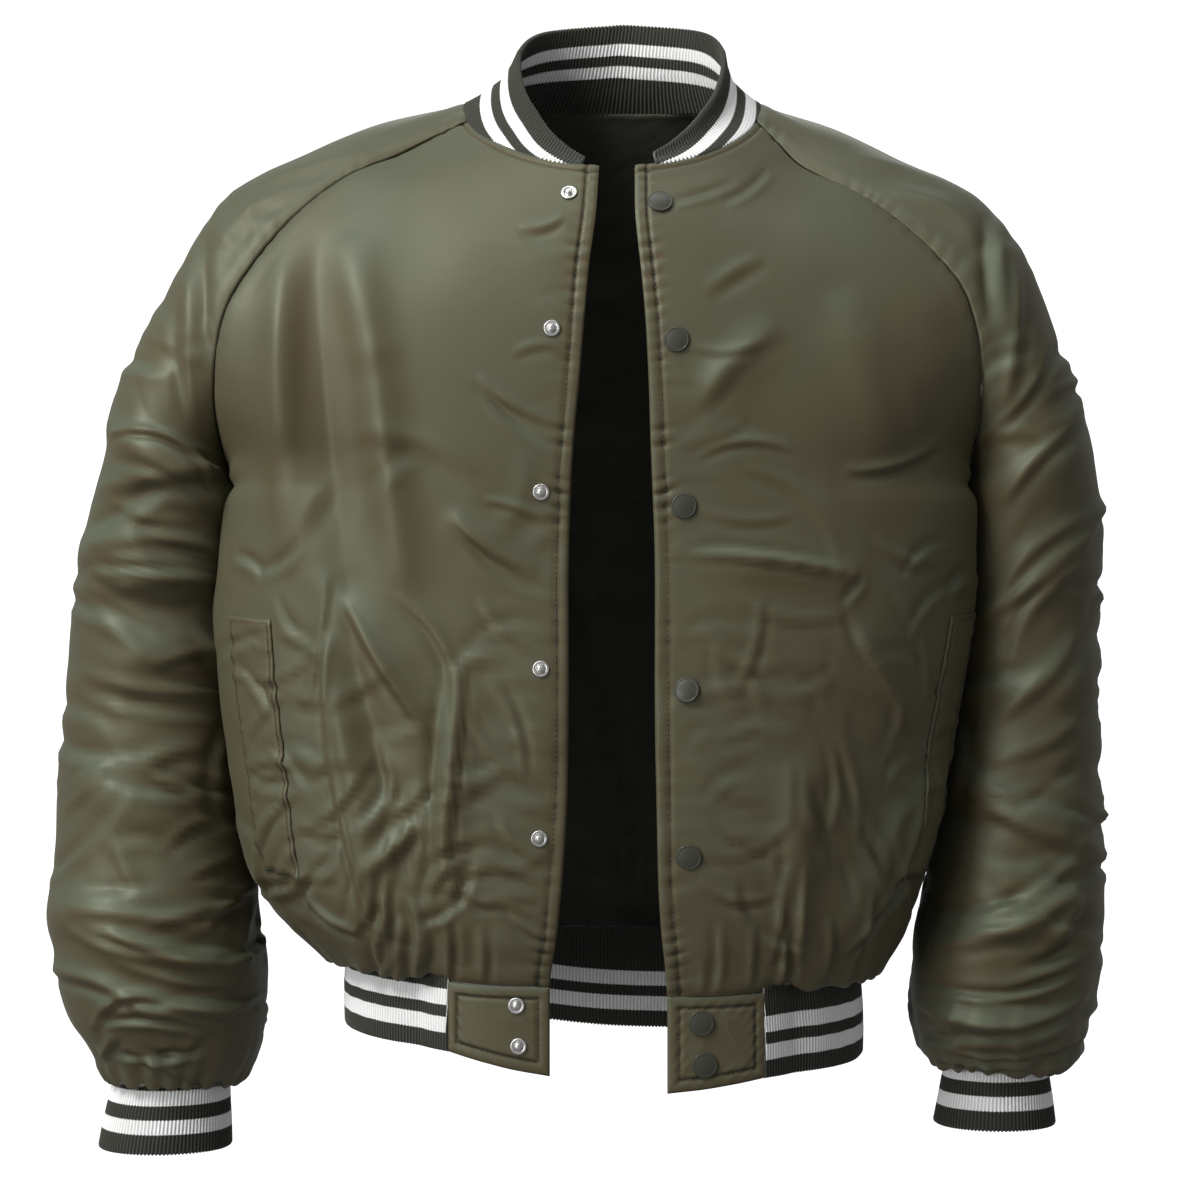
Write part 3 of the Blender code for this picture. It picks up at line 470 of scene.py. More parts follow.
def border_fade(shape, closed_rows=None):
    """1 inside a grid and 0 on its edges, so that seams stay where they are."""
    rows, columns = shape[:2]
    down = np.minimum(np.arange(rows), np.arange(rows)[::-1])
    round_ = np.minimum(np.arange(columns), np.arange(columns)[::-1])
    fade = np.minimum(down[:, None] / 2, round_[None, :] / 2)
    if closed_rows is not None:
        fade[closed_rows:] = np.minimum(down[closed_rows:, None] / 2, 1)
    return np.clip(fade, 0, 1)


def resample(path, count):
    """Points evenly spaced along a smooth curve through a path."""
    dense = smooth(path, np.linspace(0, len(path) - 1, 24 * len(path)))
    length = np.append(0, np.cumsum(np.linalg.norm(np.diff(dense, axis=0), axis=1)))
    at = np.linspace(0, length[-1], count)
    return np.stack([np.interp(at, length, dense[:, axis]) for axis in range(3)], -1)


def outwards(path, middle=(0.0, 0.0)):
    """Level directions square to a path, away from the middle of its ring."""
    way = np.gradient(path, axis=0)
    out = np.stack([way[:, 1], -way[:, 0], np.zeros(len(path))], -1)
    out /= np.linalg.norm(out, axis=1)[:, None]
    away = (path[:, :2] - middle) * out[:, :2]
    return out * np.sign(away.sum())


def trim(path, start, end):
    """A path shortened by the lengths given at its two ends."""
    dense = resample(path, 400)
    length = np.append(0, np.cumsum(np.linalg.norm(np.diff(dense, axis=0), axis=1)))
    at = np.linspace(start, length[-1] - end, len(path))
    return np.stack([np.interp(at, length, dense[:, axis]) for axis in range(3)], -1)


# ---- shading ----


class Signal:
    """One output of a material's nodes; arithmetic on it adds Math nodes."""

    def __init__(self, tree, socket):
        self.tree, self.socket = tree, socket

    def maths(self, operation, *values):
        node = self.tree.nodes.new("ShaderNodeMath")
        node.operation = operation
        for socket, value in zip(node.inputs, values):
            put(self.tree, socket, value)
        return Signal(self.tree, node.outputs[0])

    def __add__(self, other):
        return self.maths("ADD", self, other)

    def __radd__(self, other):
        return self.maths("ADD", other, self)

    def __sub__(self, other):
        return self.maths("SUBTRACT", self, other)

    def __rsub__(self, other):
        return self.maths("SUBTRACT", other, self)

    def __mul__(self, other):
        return self.maths("MULTIPLY", self, other)

    def __rmul__(self, other):
        return self.maths("MULTIPLY", other, self)

    def between(self, low, high, soft):
        """1 where the signal lies between two values, with soft ends."""
        rise = self.step(low - soft, low + soft)
        return rise * (1 - self.step(high - soft, high + soft))

    def step(self, low, high):
        node = self.tree.nodes.new("ShaderNodeMapRange")
        node.interpolation_type = "SMOOTHSTEP"
        for number, value in enumerate((self, low, high, 0.0, 1.0)):
            put(self.tree, node.inputs[number], value)
        return Signal(self.tree, node.outputs[0])

    def wave(self):
        return self.maths("SINE", self)


def put(tree, socket, value):
    if isinstance(value, Signal):
        tree.links.new(value.socket, socket)
    elif isinstance(value, tuple) and len(value) == 3 and socket.type == "RGBA":
        socket.default_value = (*value, 1.0)
    else:
        socket.default_value = value


class Finish:
    """A material under construction, with one Principled shader."""

    def __init__(self, name):
        self.material = bpy.data.materials.new(name)
        self.material.use_nodes = True
        self.tree = self.material.node_tree
        self.shader = self.tree.nodes["Principled BSDF"]

    def node(self, kind, settings=None, inputs=None, output=0):
        """Adds a node with its settings and input values or links, and gives one output."""
        made = self.tree.nodes.new("ShaderNode" + kind)
        for name, value in (settings or {}).items():
            setattr(made, name, value)
        for name, value in (inputs or {}).items():
            put(self.tree, made.inputs[name], value)
        return Signal(self.tree, made.outputs[output])

    def noise(self, place, scale, detail=2.0, rough=0.5):
        inputs = {"Vector": place, "Scale": scale, "Detail": detail, "Roughness": rough}
        return self.node("TexNoise", {}, inputs)

    def mix(self, factor, first, second):
        return self.node("Mix", {"data_type": "RGBA"}, {0: factor, 6: first, 7: second}, 2)

    def bump(self, height, distance, strength=1.0):
        inputs = {"Height": height, "Distance": distance, "Strength": strength}
        return self.node("Bump", {}, inputs)

    def uv(self):
        """The piece's own UV, in metres: across, and along."""
        place = self.node("UVMap", {"uv_map": "UVMap"})
        split = self.node("SeparateXYZ", {}, {0: place})
        along = Signal(self.tree, split.socket.node.outputs[1])
        return place, split, along

    def attribute(self, name):
        return self.node("Attribute", {"attribute_name": name}, {}, 2)

    def done(self, **values):
        for name, value in values.items():
            put(self.tree, self.shader.inputs[name.replace("_", " ")], value)
        return self.material


# the satin's painted lit colour, its mid colour and its painted shaded colour, mixed by the painted shading
SATIN_PAINTED_LIT, SATIN_WARM, SATIN_PAINTED_SHADE = (0.072, 0.081, 0.053), (0.076, 0.058, 0.030), (0.021, 0.019, 0.010)
KNIT_DARK, KNIT_WHITE = (0.024, 0.028, 0.016), (0.88, 0.88, 0.87)
LINING = (0.048, 0.047, 0.033)


def satin(name):
    """Padded olive satin, its colour mixed by painted light and shade: greener where the folds face the key
    light, browner and darker where they turn away, with random streaks in the cloth.
    """
    f = Finish(name)
    place, across, along = f.uv()
    painted_shading = f.attribute("painted_shading")
    broad = f.noise(place, 7.0, 2.0)
    streaked = f.node("Mapping", {}, {0: place, 3: (1.0, 7.0, 1.0)})
    streak = f.noise(streaked, 130.0, 3.0, 0.6)
    fine = f.noise(place, 1500.0, 2.0, 0.6)
    # painted light and shade, with random variation of the cloth's own colour added
    shade = painted_shading + (broad - 0.5) * 0.30 + (streak - 0.5) * 0.10 + (fine - 0.5) * 0.06
    warm = f.mix(shade.step(0.05, 0.45), SATIN_PAINTED_SHADE, SATIN_WARM)
    colour = f.mix(shade.step(0.38, 0.80), warm, SATIN_PAINTED_LIT)
    rough = 0.50 + (broad - 0.5) * 0.08 - (painted_shading.step(0.3, 0.8) - 0.5) * 0.08
    surface = f.bump(fine * 0.3 + streak * 0.5, 0.0005, 0.35)
    return f.done(
        Base_Color=colour,
        Roughness=rough,
        Normal=surface,
        Specular_IOR_Level=0.40,
        Specular_Tint=(0.84, 0.92, 0.72),
        Sheen_Weight=0.12,
        Sheen_Roughness=0.35,
        Sheen_Tint=(0.62, 0.70, 0.50),
    )


def knit(name, stripes=()):
    """Rib knit: loops along each rib, fuzz, white stripes at the given distances from the folded edge, and
    painted shade in the rib valleys.
    """
    f = Finish(name)
    place, across, along = f.uv()
    loops = (along * (2 * math.pi / 0.0022) + (across * (2 * math.pi / 0.00135)).wave() * 0.8).wave()
    fuzz = f.noise(place, 900.0, 3.0, 0.7)
    edge = (across * (2 * math.pi / 0.0027)).wave() * 0.00022 + (fuzz - 0.5) * 0.0005
    white = None
    from_fold = along.maths("ABSOLUTE", along) + edge
    for low, high in stripes:
        band = from_fold.between(low, high, 0.0003)
        white = band if white is None else white + band
    # painted shade: near black in the rib valleys, and grey where the white runs through them
    valley = f.attribute("painted_shading")
    dark = f.mix(valley, (0.008, 0.009, 0.005), KNIT_DARK)
    if white is None:
        colour = dark
    else:
        pale = f.mix(valley, (0.60, 0.60, 0.58), KNIT_WHITE)
        colour = f.mix(white, dark, pale)
    surface = f.bump(loops * 0.12 + fuzz * 0.35, 0.0006, 0.6)
    return f.done(
        Base_Color=colour,
        Roughness=0.82 + (fuzz - 0.5) * 0.2,
        Normal=surface,
        Specular_IOR_Level=0.25,
        Sheen_Weight=0.25,
        Sheen_Roughness=0.6,
        Sheen_Tint=(0.9, 0.9, 0.85),
    )


def lining(name):
    f = Finish(name)
    place, across, along = f.uv()
    fine = f.noise(place, 35.0, 4.0, 0.6)
    colour = f.mix(fine.step(0.3, 0.7), (0.032, 0.031, 0.022), LINING)
    return f.done(
        Base_Color=colour,
        Roughness=0.5 + (fine - 0.5) * 0.2,
        Normal=f.bump(fine, 0.003, 0.5),
        Specular_IOR_Level=0.4,
    )


def thread(name):
    f = Finish(name)
    place = f.node("TexCoord", {}, {}, 3)
    twist = f.noise(place, 1500.0, 2.0)
    colour = f.mix(twist, (0.035, 0.035, 0.024), (0.075, 0.075, 0.052))
    return f.done(Base_Color=colour, Roughness=0.6, Normal=f.bump(twist, 0.0003, 0.5))


def steel(name):
    f = Finish(name)
    place = f.node("TexCoord", {}, {}, 3)
    worn = f.noise(place, 700.0, 3.0)
    colour = f.mix(worn, (0.52, 0.51, 0.49), (0.70, 0.69, 0.67))
    return f.done(
        Base_Color=colour, Metallic=1.0, Roughness=0.30 + worn * 0.12, Normal=f.bump(worn, 0.0001, 0.3)
    )


def enamel(name):
    f = Finish(name)
    place = f.node("TexCoord", {}, {}, 3)
    fleck = f.noise(place, 900.0, 3.0)
    colour = f.mix(fleck, (0.030, 0.032, 0.021), (0.044, 0.046, 0.031))
    return f.done(
        Base_Color=colour,
        Roughness=0.42 + (fleck - 0.5) * 0.1,
        Specular_IOR_Level=0.40,
        Coat_Weight=0.08,
        Coat_Roughness=0.15,
        Normal=f.bump(fleck, 0.0001, 0.25),
    )


# ---- surfaces ----


def dense(grid, rows, columns):
    """A grid's smooth surface, read at more rows and columns: counts, or places counted in its own."""
    for size in (rows, columns):
        places = np.linspace(0, len(grid) - 1, size) if isinstance(size, int) else size
        grid = smooth(grid, places).swapaxes(0, 1)
    return grid


def finer_places(cells, fine, first):
    """Places that cut each cell into fine parts, and the first one into more."""
    start, rest = np.linspace(0, 1, first, endpoint=False), np.linspace(1, cells, (cells - 1) * fine + 1)
    return np.concatenate([start, rest])


def unit(vectors):
    return vectors / np.maximum(np.linalg.norm(vectors, axis=-1, keepdims=True), 1e-9)


def grid_normals(grid, outward, closed_from=None):
    """Smooth unit normals of a fine grid; below closed_from its two sides are one line."""
    across, down = np.gradient(grid, axis=1), np.gradient(grid, axis=0)
    if closed_from is not None:
        seam = (grid[closed_from:, 1] - grid[closed_from:, -2]) / 2
        across[closed_from:, 0] = across[closed_from:, -1] = seam
    return unit(np.cross(across, down)) * outward


def lengths(grid):
    """Distances in metres across from the first column, and down from the first row."""
    across = np.linalg.norm(np.diff(grid, axis=1), axis=-1)
    down = np.linalg.norm(np.diff(grid, axis=0), axis=-1)
    across = np.concatenate([np.zeros((len(grid), 1)), np.cumsum(across, axis=1)], axis=1)
    down = np.concatenate([np.zeros((1, grid.shape[1])), np.cumsum(down, axis=0)])
    return across * MM, down * MM


NOISE_CELLS = 64


def noise(x, y, seed):
    """Smooth random values from -1 to 1 over a plane, the same on every run."""
    values = np.random.default_rng(seed).uniform(-1, 1, (NOISE_CELLS, NOISE_CELLS))
    column, row = np.floor(x).astype(int), np.floor(y).astype(int)
    a, b = x - column, y - row
    a, b = a * a * (3 - 2 * a), b * b * (3 - 2 * b)
    corners = [values[(row + r) % NOISE_CELLS, (column + c) % NOISE_CELLS] for r in (0, 1) for c in (0, 1)]
    top = corners[0] * (1 - a) + corners[1] * a
    return top * (1 - b) + (corners[2] * (1 - a) + corners[3] * a) * b


def crumple(u, v, size, angle, stretch, seed):
    """Sharp-crested random creases: u and v in mm, size across a crease, longer along the angle."""
    c, s = math.cos(math.radians(angle)), math.sin(math.radians(angle))
    along, over = (u * c + v * s) / (size * stretch), (v * c - u * s) / size
    bent = over + 0.7 * noise(along * 1.3, over * 0.6, seed + 7)
    crest = 1 - 2 * np.abs(noise(along, bent, seed))
    return crest * np.abs(crest) * (0.6 + 0.4 * noise(along * 0.5, over * 0.5, seed + 3))


def billow(u, v, size, angle, stretch, seed):
    """Rounded swellings between narrow valleys, as padded cloth makes: the arguments are crumple's."""
    c, s = math.cos(math.radians(angle)), math.sin(math.radians(angle))
    along, over = (u * c + v * s) / (size * stretch), (v * c - u * s) / size
    bent = over + 0.6 * noise(along * 1.2, over * 0.5, seed + 7)
    return 2 * np.sqrt(noise(along, bent, seed) ** 2 + 0.004) - 0.6


def crease(x, z, x0, z0, x1, z1, bow, width, height):
    """One crease, bowed and tapering: a ridge with a fold beside it, or a trough."""
    way = np.array((x1 - x0, z1 - z0), float)
    long = np.linalg.norm(way)
    way /= long
    along = (x - x0) * way[0] + (z - z0) * way[1]
    share = along / long
    near = np.clip(share, 0, 1)
    over = (z - z0) * way[0] - (x - x0) * way[1] - bow * 4 * near * (1 - near)
    past = (share - near) * long
    away = np.sqrt(over**2 + past**2) / width
    taper = np.sin(np.pi * np.clip(0.08 + 0.84 * share, 0, 1)) ** 0.8
    below = over / width * (1 if way[0] >= 0 else -1)
    beside = np.exp(-(((below + 1.5) / 0.8) ** 2) - (past / width) ** 2)
    shape = np.exp(-(away**1.5)) - 0.25 * np.exp(-((away / 2.4) ** 2)) - 0.55 * beside
    return height * shape * taper


CREASE_GAIN = 1.55


def creases(grid, side, table_):
    x, z = grid[..., 0] * side, grid[..., 2]
    total = np.zeros(grid.shape[:2])
    for row in table_:
        total += crease(x, z, *row)
    return total * CREASE_GAIN


def scattered(grid, side, seed, count, box, angle, spread, length, width, height):
    """Seeded small creases in a box of the front view, lying about an angle in degrees."""
    random = np.random.default_rng(seed)
    rows = []
    for _ in range(count):
        x, z = random.uniform(box[0], box[1]), random.uniform(box[2], box[3])
        turn = math.radians(random.normal(angle, spread))
        half = random.uniform(*length) / 2
        dx, dz = half * math.cos(turn), half * math.sin(turn)
        wide, high = random.uniform(*width), random.uniform(*height) * random.choice((-1.0, 1.0))
        rows.append((x - dx, z - dz, x + dx, z + dz, half * random.uniform(-0.35, 0.35), wide, high))
    return creases(grid, side, rows)


# ---- pieces ----


def grid_piece(name, points, uv, painted_shading, materials, thickness, weld_rows=None, looped=False):
    """A cloth piece from a grid of points in mm, with its UV in metres and its painted light and shade.

    Its sides are one line from weld_rows down. A looped one's last row is its first, and its ends are closed.
    """
    rows, columns = points.shape[:2]
    mesh = bmesh.new()
    layer = mesh.loops.layers.uv.new("UVMap")
    bmesh.ops.create_grid(mesh, x_segments=columns - 1, y_segments=rows - 1, size=0.5)
    mesh.verts.ensure_lookup_table()
    # painted light and shade per vertex, read by the materials
    shade = mesh.verts.layers.float.new("painted_shading")
    place = {}
    for vert in mesh.verts:
        c = round((vert.co.x + 0.5) * (columns - 1))
        r = round((0.5 - vert.co.y) * (rows - 1))
        place[vert] = (r, c)
    for face in mesh.faces:
        face.smooth = True
        for loop in face.loops:
            loop[layer].uv = uv[place[loop.vert]]
    for vert, at in place.items():
        vert.co = points[at] * MM
        vert[shade] = painted_shading[at]
    if weld_rows is not None:
        edge = [v for v, (r, c) in place.items() if c in (0, columns - 1) and r >= weld_rows]
        bmesh.ops.remove_doubles(mesh, verts=edge, dist=2e-5)
    if looped:
        edge = [vert for vert in mesh.verts if vert.is_boundary]
        bmesh.ops.remove_doubles(mesh, verts=edge, dist=1e-6)
        bmesh.ops.holes_fill(mesh, edges=[e for e in mesh.edges if e.is_boundary], sides=0)
        bmesh.ops.recalc_face_normals(mesh, faces=mesh.faces)
    data = bpy.data.meshes.new(name)
    mesh.to_mesh(data)
    mesh.free()
    for material in materials:
        data.materials.append(material)
    made = bpy.data.objects.new(name, data)
    bpy.context.scene.collection.objects.link(made)
    if thickness is None:
        return made
    wall = made.modifiers.new("wall", "SOLIDIFY")
    wall.thickness = thickness * MM
    wall.offset = -1
    wall.use_even_offset = False
    if len(materials) > 1:
        wall.material_offset = 1
    return made


def outward_faces(made, normals_sample):
    """Turns a piece's faces over where they point against the given outward direction."""
    point, normal = normals_sample
    data = made.data
    nearest = min(data.polygons, key=lambda p: (p.center - Vector(point * MM)).length)
    if nearest.normal.dot(Vector(normal)) < 0:
        data.flip_normals()


FRONT_FINE, BACK_FINE = 8, 5
SLEEVE_ROW_FINE, SLEEVE_FINE = 10, 5
SATIN_WALL = 2.4
SEAM_ROLL, SEAM_SOFT = 0.7, 2.4  # how deep a seam sinks, and how far from it


def seam_roll(distance):
    """The cloth turns in at a seam, and puffs a little beside it."""
    return -SEAM_ROLL * np.exp(-((distance / SEAM_SOFT) ** 2)) + 0.3 * np.exp(-(((distance - 8) / 5) ** 2))


# the key light's direction, used to paint light and shade into the cloth's colour
LIGHTWARD = (-0.30, -0.35, 0.89)


def softened(values):
    """Each value averaged with its neighbours."""
    for axis in (0, 1):
        padded = np.concatenate([values.take([0], axis), values, values.take([-1], axis)], axis)
        count = values.shape[axis]
        left, right = padded.take(range(count), axis), padded.take(range(2, count + 2), axis)
        values = (left + 2 * values + right) / 4
    return values


def painted_shading_of(points, base, outward, closed_from=None):
    """Painted light and shade: lighter and greener on the flanks of the folds that face up towards the key
    light, browner and darker on those that face down.
    """
    fine = grid_normals(points, outward, closed_from)
    lit = np.array(LIGHTWARD)
    fold = softened((fine - base) @ lit)
    return np.clip(0.52 + 0.22 * ((base @ lit) - 0.3) + 0.24 * np.tanh(3.2 * fold), 0, 1)


def declare(made, nodes, slot, flat, held, area, rests_on=()):
    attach(made, "root")
    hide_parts(*nodes)
    return made


def panel_lift(grid, side, table_, folds, fade, strong):
    """The height of the part's own folds and of the listed creases over a fine panel."""
    view = grid * (side, 1, 1)
    lift = sum(ridge(view[..., 0], view[..., 2], fold) for fold in folds) * fade
    return lift + creases(grid, side, table_) * fade**0.5 * strong


FIRST_FINE = 16  # parts of a front's first row and column, where its topstitching runs

# Small creases: how many, their box (x from and to, z from and to), angle, spread, lengths, widths, heights
FRONT_PATCHES = (
    (26, (14, 90, -530, -350), 14, 20, (25, 70), (3.0, 4.2), (0.7, 1.5)),
    (5, (12, 60, -330, -90), 8, 20, (25, 65), (3.8, 6.0), (0.3, 0.8)),
    (24, (80, 215, -520, -360), -55, 26, (28, 80), (3.1, 4.8), (0.7, 1.5)),
    (11, (80, 200, -575, -500), 95, 14, (25, 55), (3.0, 4.2), (0.8, 1.6)),
    (3, (60, 200, -340, -180), -35, 30, (40, 90), (4.5, 8.0), (0.5, 1.1)),
    (14, (185, 235, -520, -300), 8, 25, (20, 45), (3.0, 4.2), (0.8, 1.5)),
)
BACK_PATCHES = (
    (40, (-220, 220, -540, -330), 20, 45, (30, 90), (3.0, 5.5), (0.9, 2.0)),
    (34, (-210, 210, -575, -490), 90, 18, (25, 60), (2.8, 4.6), (1.0, 2.1)),
    (14, (-190, 190, -330, -100), 0, 40, (50, 110), (5.0, 9.0), (0.4, 1.0)),
)
SLEEVE_PATCHES = (
    (20, (235, 355, -420, -130), 12, 22, (35, 90), (3.5, 7.0), (1.0, 2.4)),
    (26, (225, 355, -640, -420), 4, 24, (30, 90), (3.2, 6.0), (1.2, 2.7)),
    (10, (170, 300, -180, -60), 35, 30, (30, 70), (4.0, 7.0), (0.4, 1.0)),
)


def pinches(along, over, pitch, seed):
    """Uneven narrow puckers across a seam or a row of stitches, 1 at the bottom of each."""
    turn = np.pi * along / pitch + 2.5 * noise(along / 30, over / 40, seed)
    return np.abs(np.cos(turn)) ** 5 * np.clip(0.5 + 0.7 * noise(along / 17, over / 60, seed + 1), 0, 1)


def groove(distance, at):
    """A row of topstitching pressed into padded cloth."""
    return np.exp(-(((distance - at) / 1.3) ** 2))


def gathers(distance, along, depth, reach, pitch, seed):
    """Gathers along a seam: uneven waves that fade away from it. Distances are in mm."""
    shift = noise(along / 45, distance / 60, seed) * 1.6 + noise(along / 14, distance / 30, seed + 1) * 0.5
    wave = np.sin(2 * np.pi * along / pitch + 2.2 * shift)
    uneven = 0.65 + 0.35 * noise(along / 20, distance / 90, seed + 2)
    return depth * wave * uneven * np.exp(-((distance / reach) ** 1.3))


def front_piece(side):
    word = name_of(side)
    coarse = front_grid(side)
    places = [finer_places(count - 1, FRONT_FINE, FIRST_FINE) for count in coarse.shape[:2]]
    grid = dense(coarse, *places)
    rows, columns = grid.shape[:2]
    fade = np.clip(dense(border_fade(coarse.shape), *places), 0, 1)
    outward = -side
    normals = grid_normals(grid, outward)
    u, v = lengths(grid)
    um, vm = u / MM, v / MM
    from_edge, from_neck = um, vm
    from_seam, from_hem = um[:, -1:] - um, vm[-1:] - vm
    strong = 1.3 if side == RIGHT else 0.9
    lift = panel_lift(grid, side, FRONT_CREASES[side], FRONT_FOLDS[side], fade, strong)
    lift += 1.5 * noise(um / 75, vm / 110, 21 + side) + 0.5 * noise(um / 38, vm / 50, 41 + side)
    low = np.clip((-grid[..., 2] - 260) / 220, 0, 1)
    low = np.maximum(low, 0.3 * np.exp(-((from_edge / 60) ** 2)))
    waves = 0.55 * billow(um, vm, 38, 62, 1.8, 11 + side) + 0.32 * billow(um, vm, 19, 25, 1.8, 31 + side)
    lift += waves * low * strong
    for number, patch in enumerate(FRONT_PATCHES):
        lift += scattered(grid, side, 500 + 10 * number + side, *patch) * fade**0.5 * strong
    # the placket: a doubled strip along the edge with its row of stitches, puckered a little
    pucker = pinches(vm, um, 9, 5)
    topstitch = groove(from_edge, 8.0) + groove(from_neck, 5.5)
    lift += -0.9 * np.exp(-((from_edge / 1.5) ** 2)) - 1.0 * topstitch
    pucker = pucker * np.exp(-(((from_edge - 7) / 7) ** 2))
    lift -= 1.6 * pucker
    lift += seam_roll(from_neck) * 0.8
    lift += seam_roll(from_seam)
    lift -= 0.7 * pinches(vm, um, 13, 8) * np.exp(-((from_seam / 9) ** 2))
    on_rib = np.clip((um / um[:, -1:] - BLOCK_SHARE) / 0.05, 0, 1)
    at_seam = np.clip(from_hem / 16, 0, 1)
    folds_ = gathers(from_hem, um, 2.6, 30, 24, 61 + side) * (0.2 + 0.8 * on_rib)
    lift += folds_ * at_seam - (2.6 - np.abs(folds_)) * (1 - at_seam) * on_rib
    lift += seam_roll(from_hem) * (1.2 - 0.6 * on_rib)
    points = grid + normals * lift[..., None]
    # painted light and shade from the folds, and painted shade in the topstitch grooves and the pucker
    # valleys
    painted_shading = np.clip(painted_shading_of(points, normals, outward) - 0.35 * topstitch - 0.25 * pucker, 0, 1)
    uv = np.stack([u, v], -1)
    made = grid_piece("front_" + word, points, uv, painted_shading, [SATIN, LININGS], SATIN_WALL)
    outward_faces(made, (points[rows // 2, columns // 2], normals[rows // 2, columns // 2]))
    declare(made, ["front_panel_" + word], "satin_front", *FLAT["front", side], rests_on=["collar_rib"])
    return points, grid_normals(points, outward), u, v


def back_piece():
    coarse = back_grid()
    rows, columns = (len(coarse) - 1) * BACK_FINE + 1, (coarse.shape[1] - 1) * BACK_FINE + 1
    grid = dense(coarse, rows, columns)
    fade = np.clip(dense(border_fade(coarse.shape), rows, columns), 0, 1)
    normals = grid_normals(grid, 1)
    u, v = lengths(grid)
    um, vm = u / MM, v / MM
    lift = sum(ridge(grid[..., 0], grid[..., 2], fold) for fold in BACK_FOLDS) * fade
    lift += creases(grid, 1, BACK_CREASES) * fade**0.5
    for number, patch in enumerate(BACK_PATCHES):
        lift += scattered(grid, 1, 900 + number, *patch) * fade**0.5
    lift += 1.6 * noise(um / 80, vm / 110, 75) + 0.5 * noise(um / 38, vm / 50, 76)
    low = np.clip((-grid[..., 2] - 170) / 300, 0, 1)
    lift += (1.5 * billow(um, vm, 36, 80, 2.0, 71) + 0.7 * billow(um, vm, 17, 40, 1.8, 72)) * low
    lift += 0.5 * crumple(um, vm, 20, 100, 2.0, 73) * low
    from_hem = vm[-1:] - vm
    lift += seam_roll(vm) + seam_roll(um) + seam_roll(um[:, -1:] - um)
    at_seam = np.clip(from_hem / 16, 0, 1)
    folds_ = gathers(from_hem, um, 2.6, 30, 24, 74)
    lift += folds_ * at_seam - (2.6 - np.abs(folds_)) * (1 - at_seam) + 0.6 * seam_roll(from_hem)
    points = grid + normals * lift[..., None]
    # painted light and shade from the folds
    uv, painted_shading = np.stack([u, v], -1), painted_shading_of(points, normals, 1)
    made = grid_piece("back", points, uv, painted_shading, [SATIN, LININGS], SATIN_WALL)
    outward_faces(made, (points[rows // 2, columns // 2], normals[rows // 2, columns // 2]))
    return declare(made, ["back_panel"], "satin_back", *FLAT["back", 0], rests_on=["collar_rib"])


def sleeve_piece(side):
    word = name_of(side)
    coarse = sleeve_grid(side)
    rows, columns = (len(coarse) - 1) * SLEEVE_ROW_FINE + 1, (coarse.shape[1] - 1) * SLEEVE_FINE + 1
    weld = UPPER_ROWS * SLEEVE_ROW_FINE
    grid = dense(coarse, rows, columns)
    fade = np.clip(dense(border_fade(coarse.shape, UPPER_ROWS), rows, columns), 0, 1)
    outward = -side
    normals = grid_normals(grid, outward, weld)
    u, v = lengths(grid)
    um, vm = u / MM, v / MM
    share = np.linspace(0, 1, columns)[None, :] * np.ones((rows, 1))
    in_front = np.clip((0.56 - share) / 0.12, 0, 1)
    lift = sum(ridge(grid[..., 0] * side, grid[..., 2], fold) for fold in SLEEVE_FOLDS[side]) * fade
    lift += creases(grid, side, SLEEVE_CREASES[side]) * fade**0.5 * in_front
    lift += creases(grid, side, SLEEVE_BACK_CREASES) * fade**0.5 * (1 - in_front)
    for number, patch in enumerate(SLEEVE_PATCHES):
        lift += scattered(grid, side, 700 + 10 * number + side, *patch) * fade**0.5 * in_front
        lift += scattered(grid, side, 800 + 10 * number + side, *patch) * fade**0.5 * (1 - in_front)
    closed = np.arange(rows)[:, None] > weld
    girth = um[:, -1:]
    ring = share * 330.0
    # the random creases run into each other round the closed tube
    blend_in = np.clip(share / 0.1, 0, 1)
    first, again = [
        1.5 * billow(ring + start, vm, 56, 16, 2.2, 81 + side)
        + 0.6 * billow(ring + start, vm, 27, -26, 2.0, 91 + side)
        for start in (0, 330)
    ]
    low = np.clip((-grid[..., 2] - 60) / 220, 0.12, 1)
    lift += (first * blend_in + again * (1 - blend_in)) * low
    edge = np.minimum(um, girth - um)
    lift += np.where(closed, 0.5, 1.0) * seam_roll(edge)
    lift -= 0.8 * pinches(vm, um, 13, 18) * np.exp(-((edge / 9) ** 2))
    lift += seam_roll(vm) * 0.8
    from_cuff = vm[-1:] - vm
    turns = round(girth[-1, 0] / 12)
    wave = np.sin(2 * np.pi * share * turns + 1.5 * np.sin(2 * np.pi * share * 5 + side) + from_cuff / 40)
    at_seam = np.clip(from_cuff / 16, 0, 1)
    lift += (2.4 * wave * at_seam - 1.6 * (1 - wave) * (1 - at_seam)) * np.exp(-((from_cuff / 30) ** 1.3))
    points = grid + normals * lift[..., None]
    points[weld:, -1] = points[weld:, 0]
    # painted light and shade from the folds
    painted_shading = painted_shading_of(points, normals, outward, weld)
    uv = np.stack([u, v], -1)
    made = grid_piece("sleeve_cloth_" + word, points, uv, painted_shading, [SATIN, LININGS], SATIN_WALL, weld)
    outward_faces(made, (points[rows // 2, columns // 2], normals[rows // 2, columns // 2]))
    declare(made, ["sleeve_" + word], "satin_sleeve", *FLAT["sleeve", side], rests_on=["front_" + word])
    return points


RIB_STEPS, RIB_ROWS, FOLD_TURNS = 6, 6, (45, 90, 135)
KNIT_WALL = 2.8


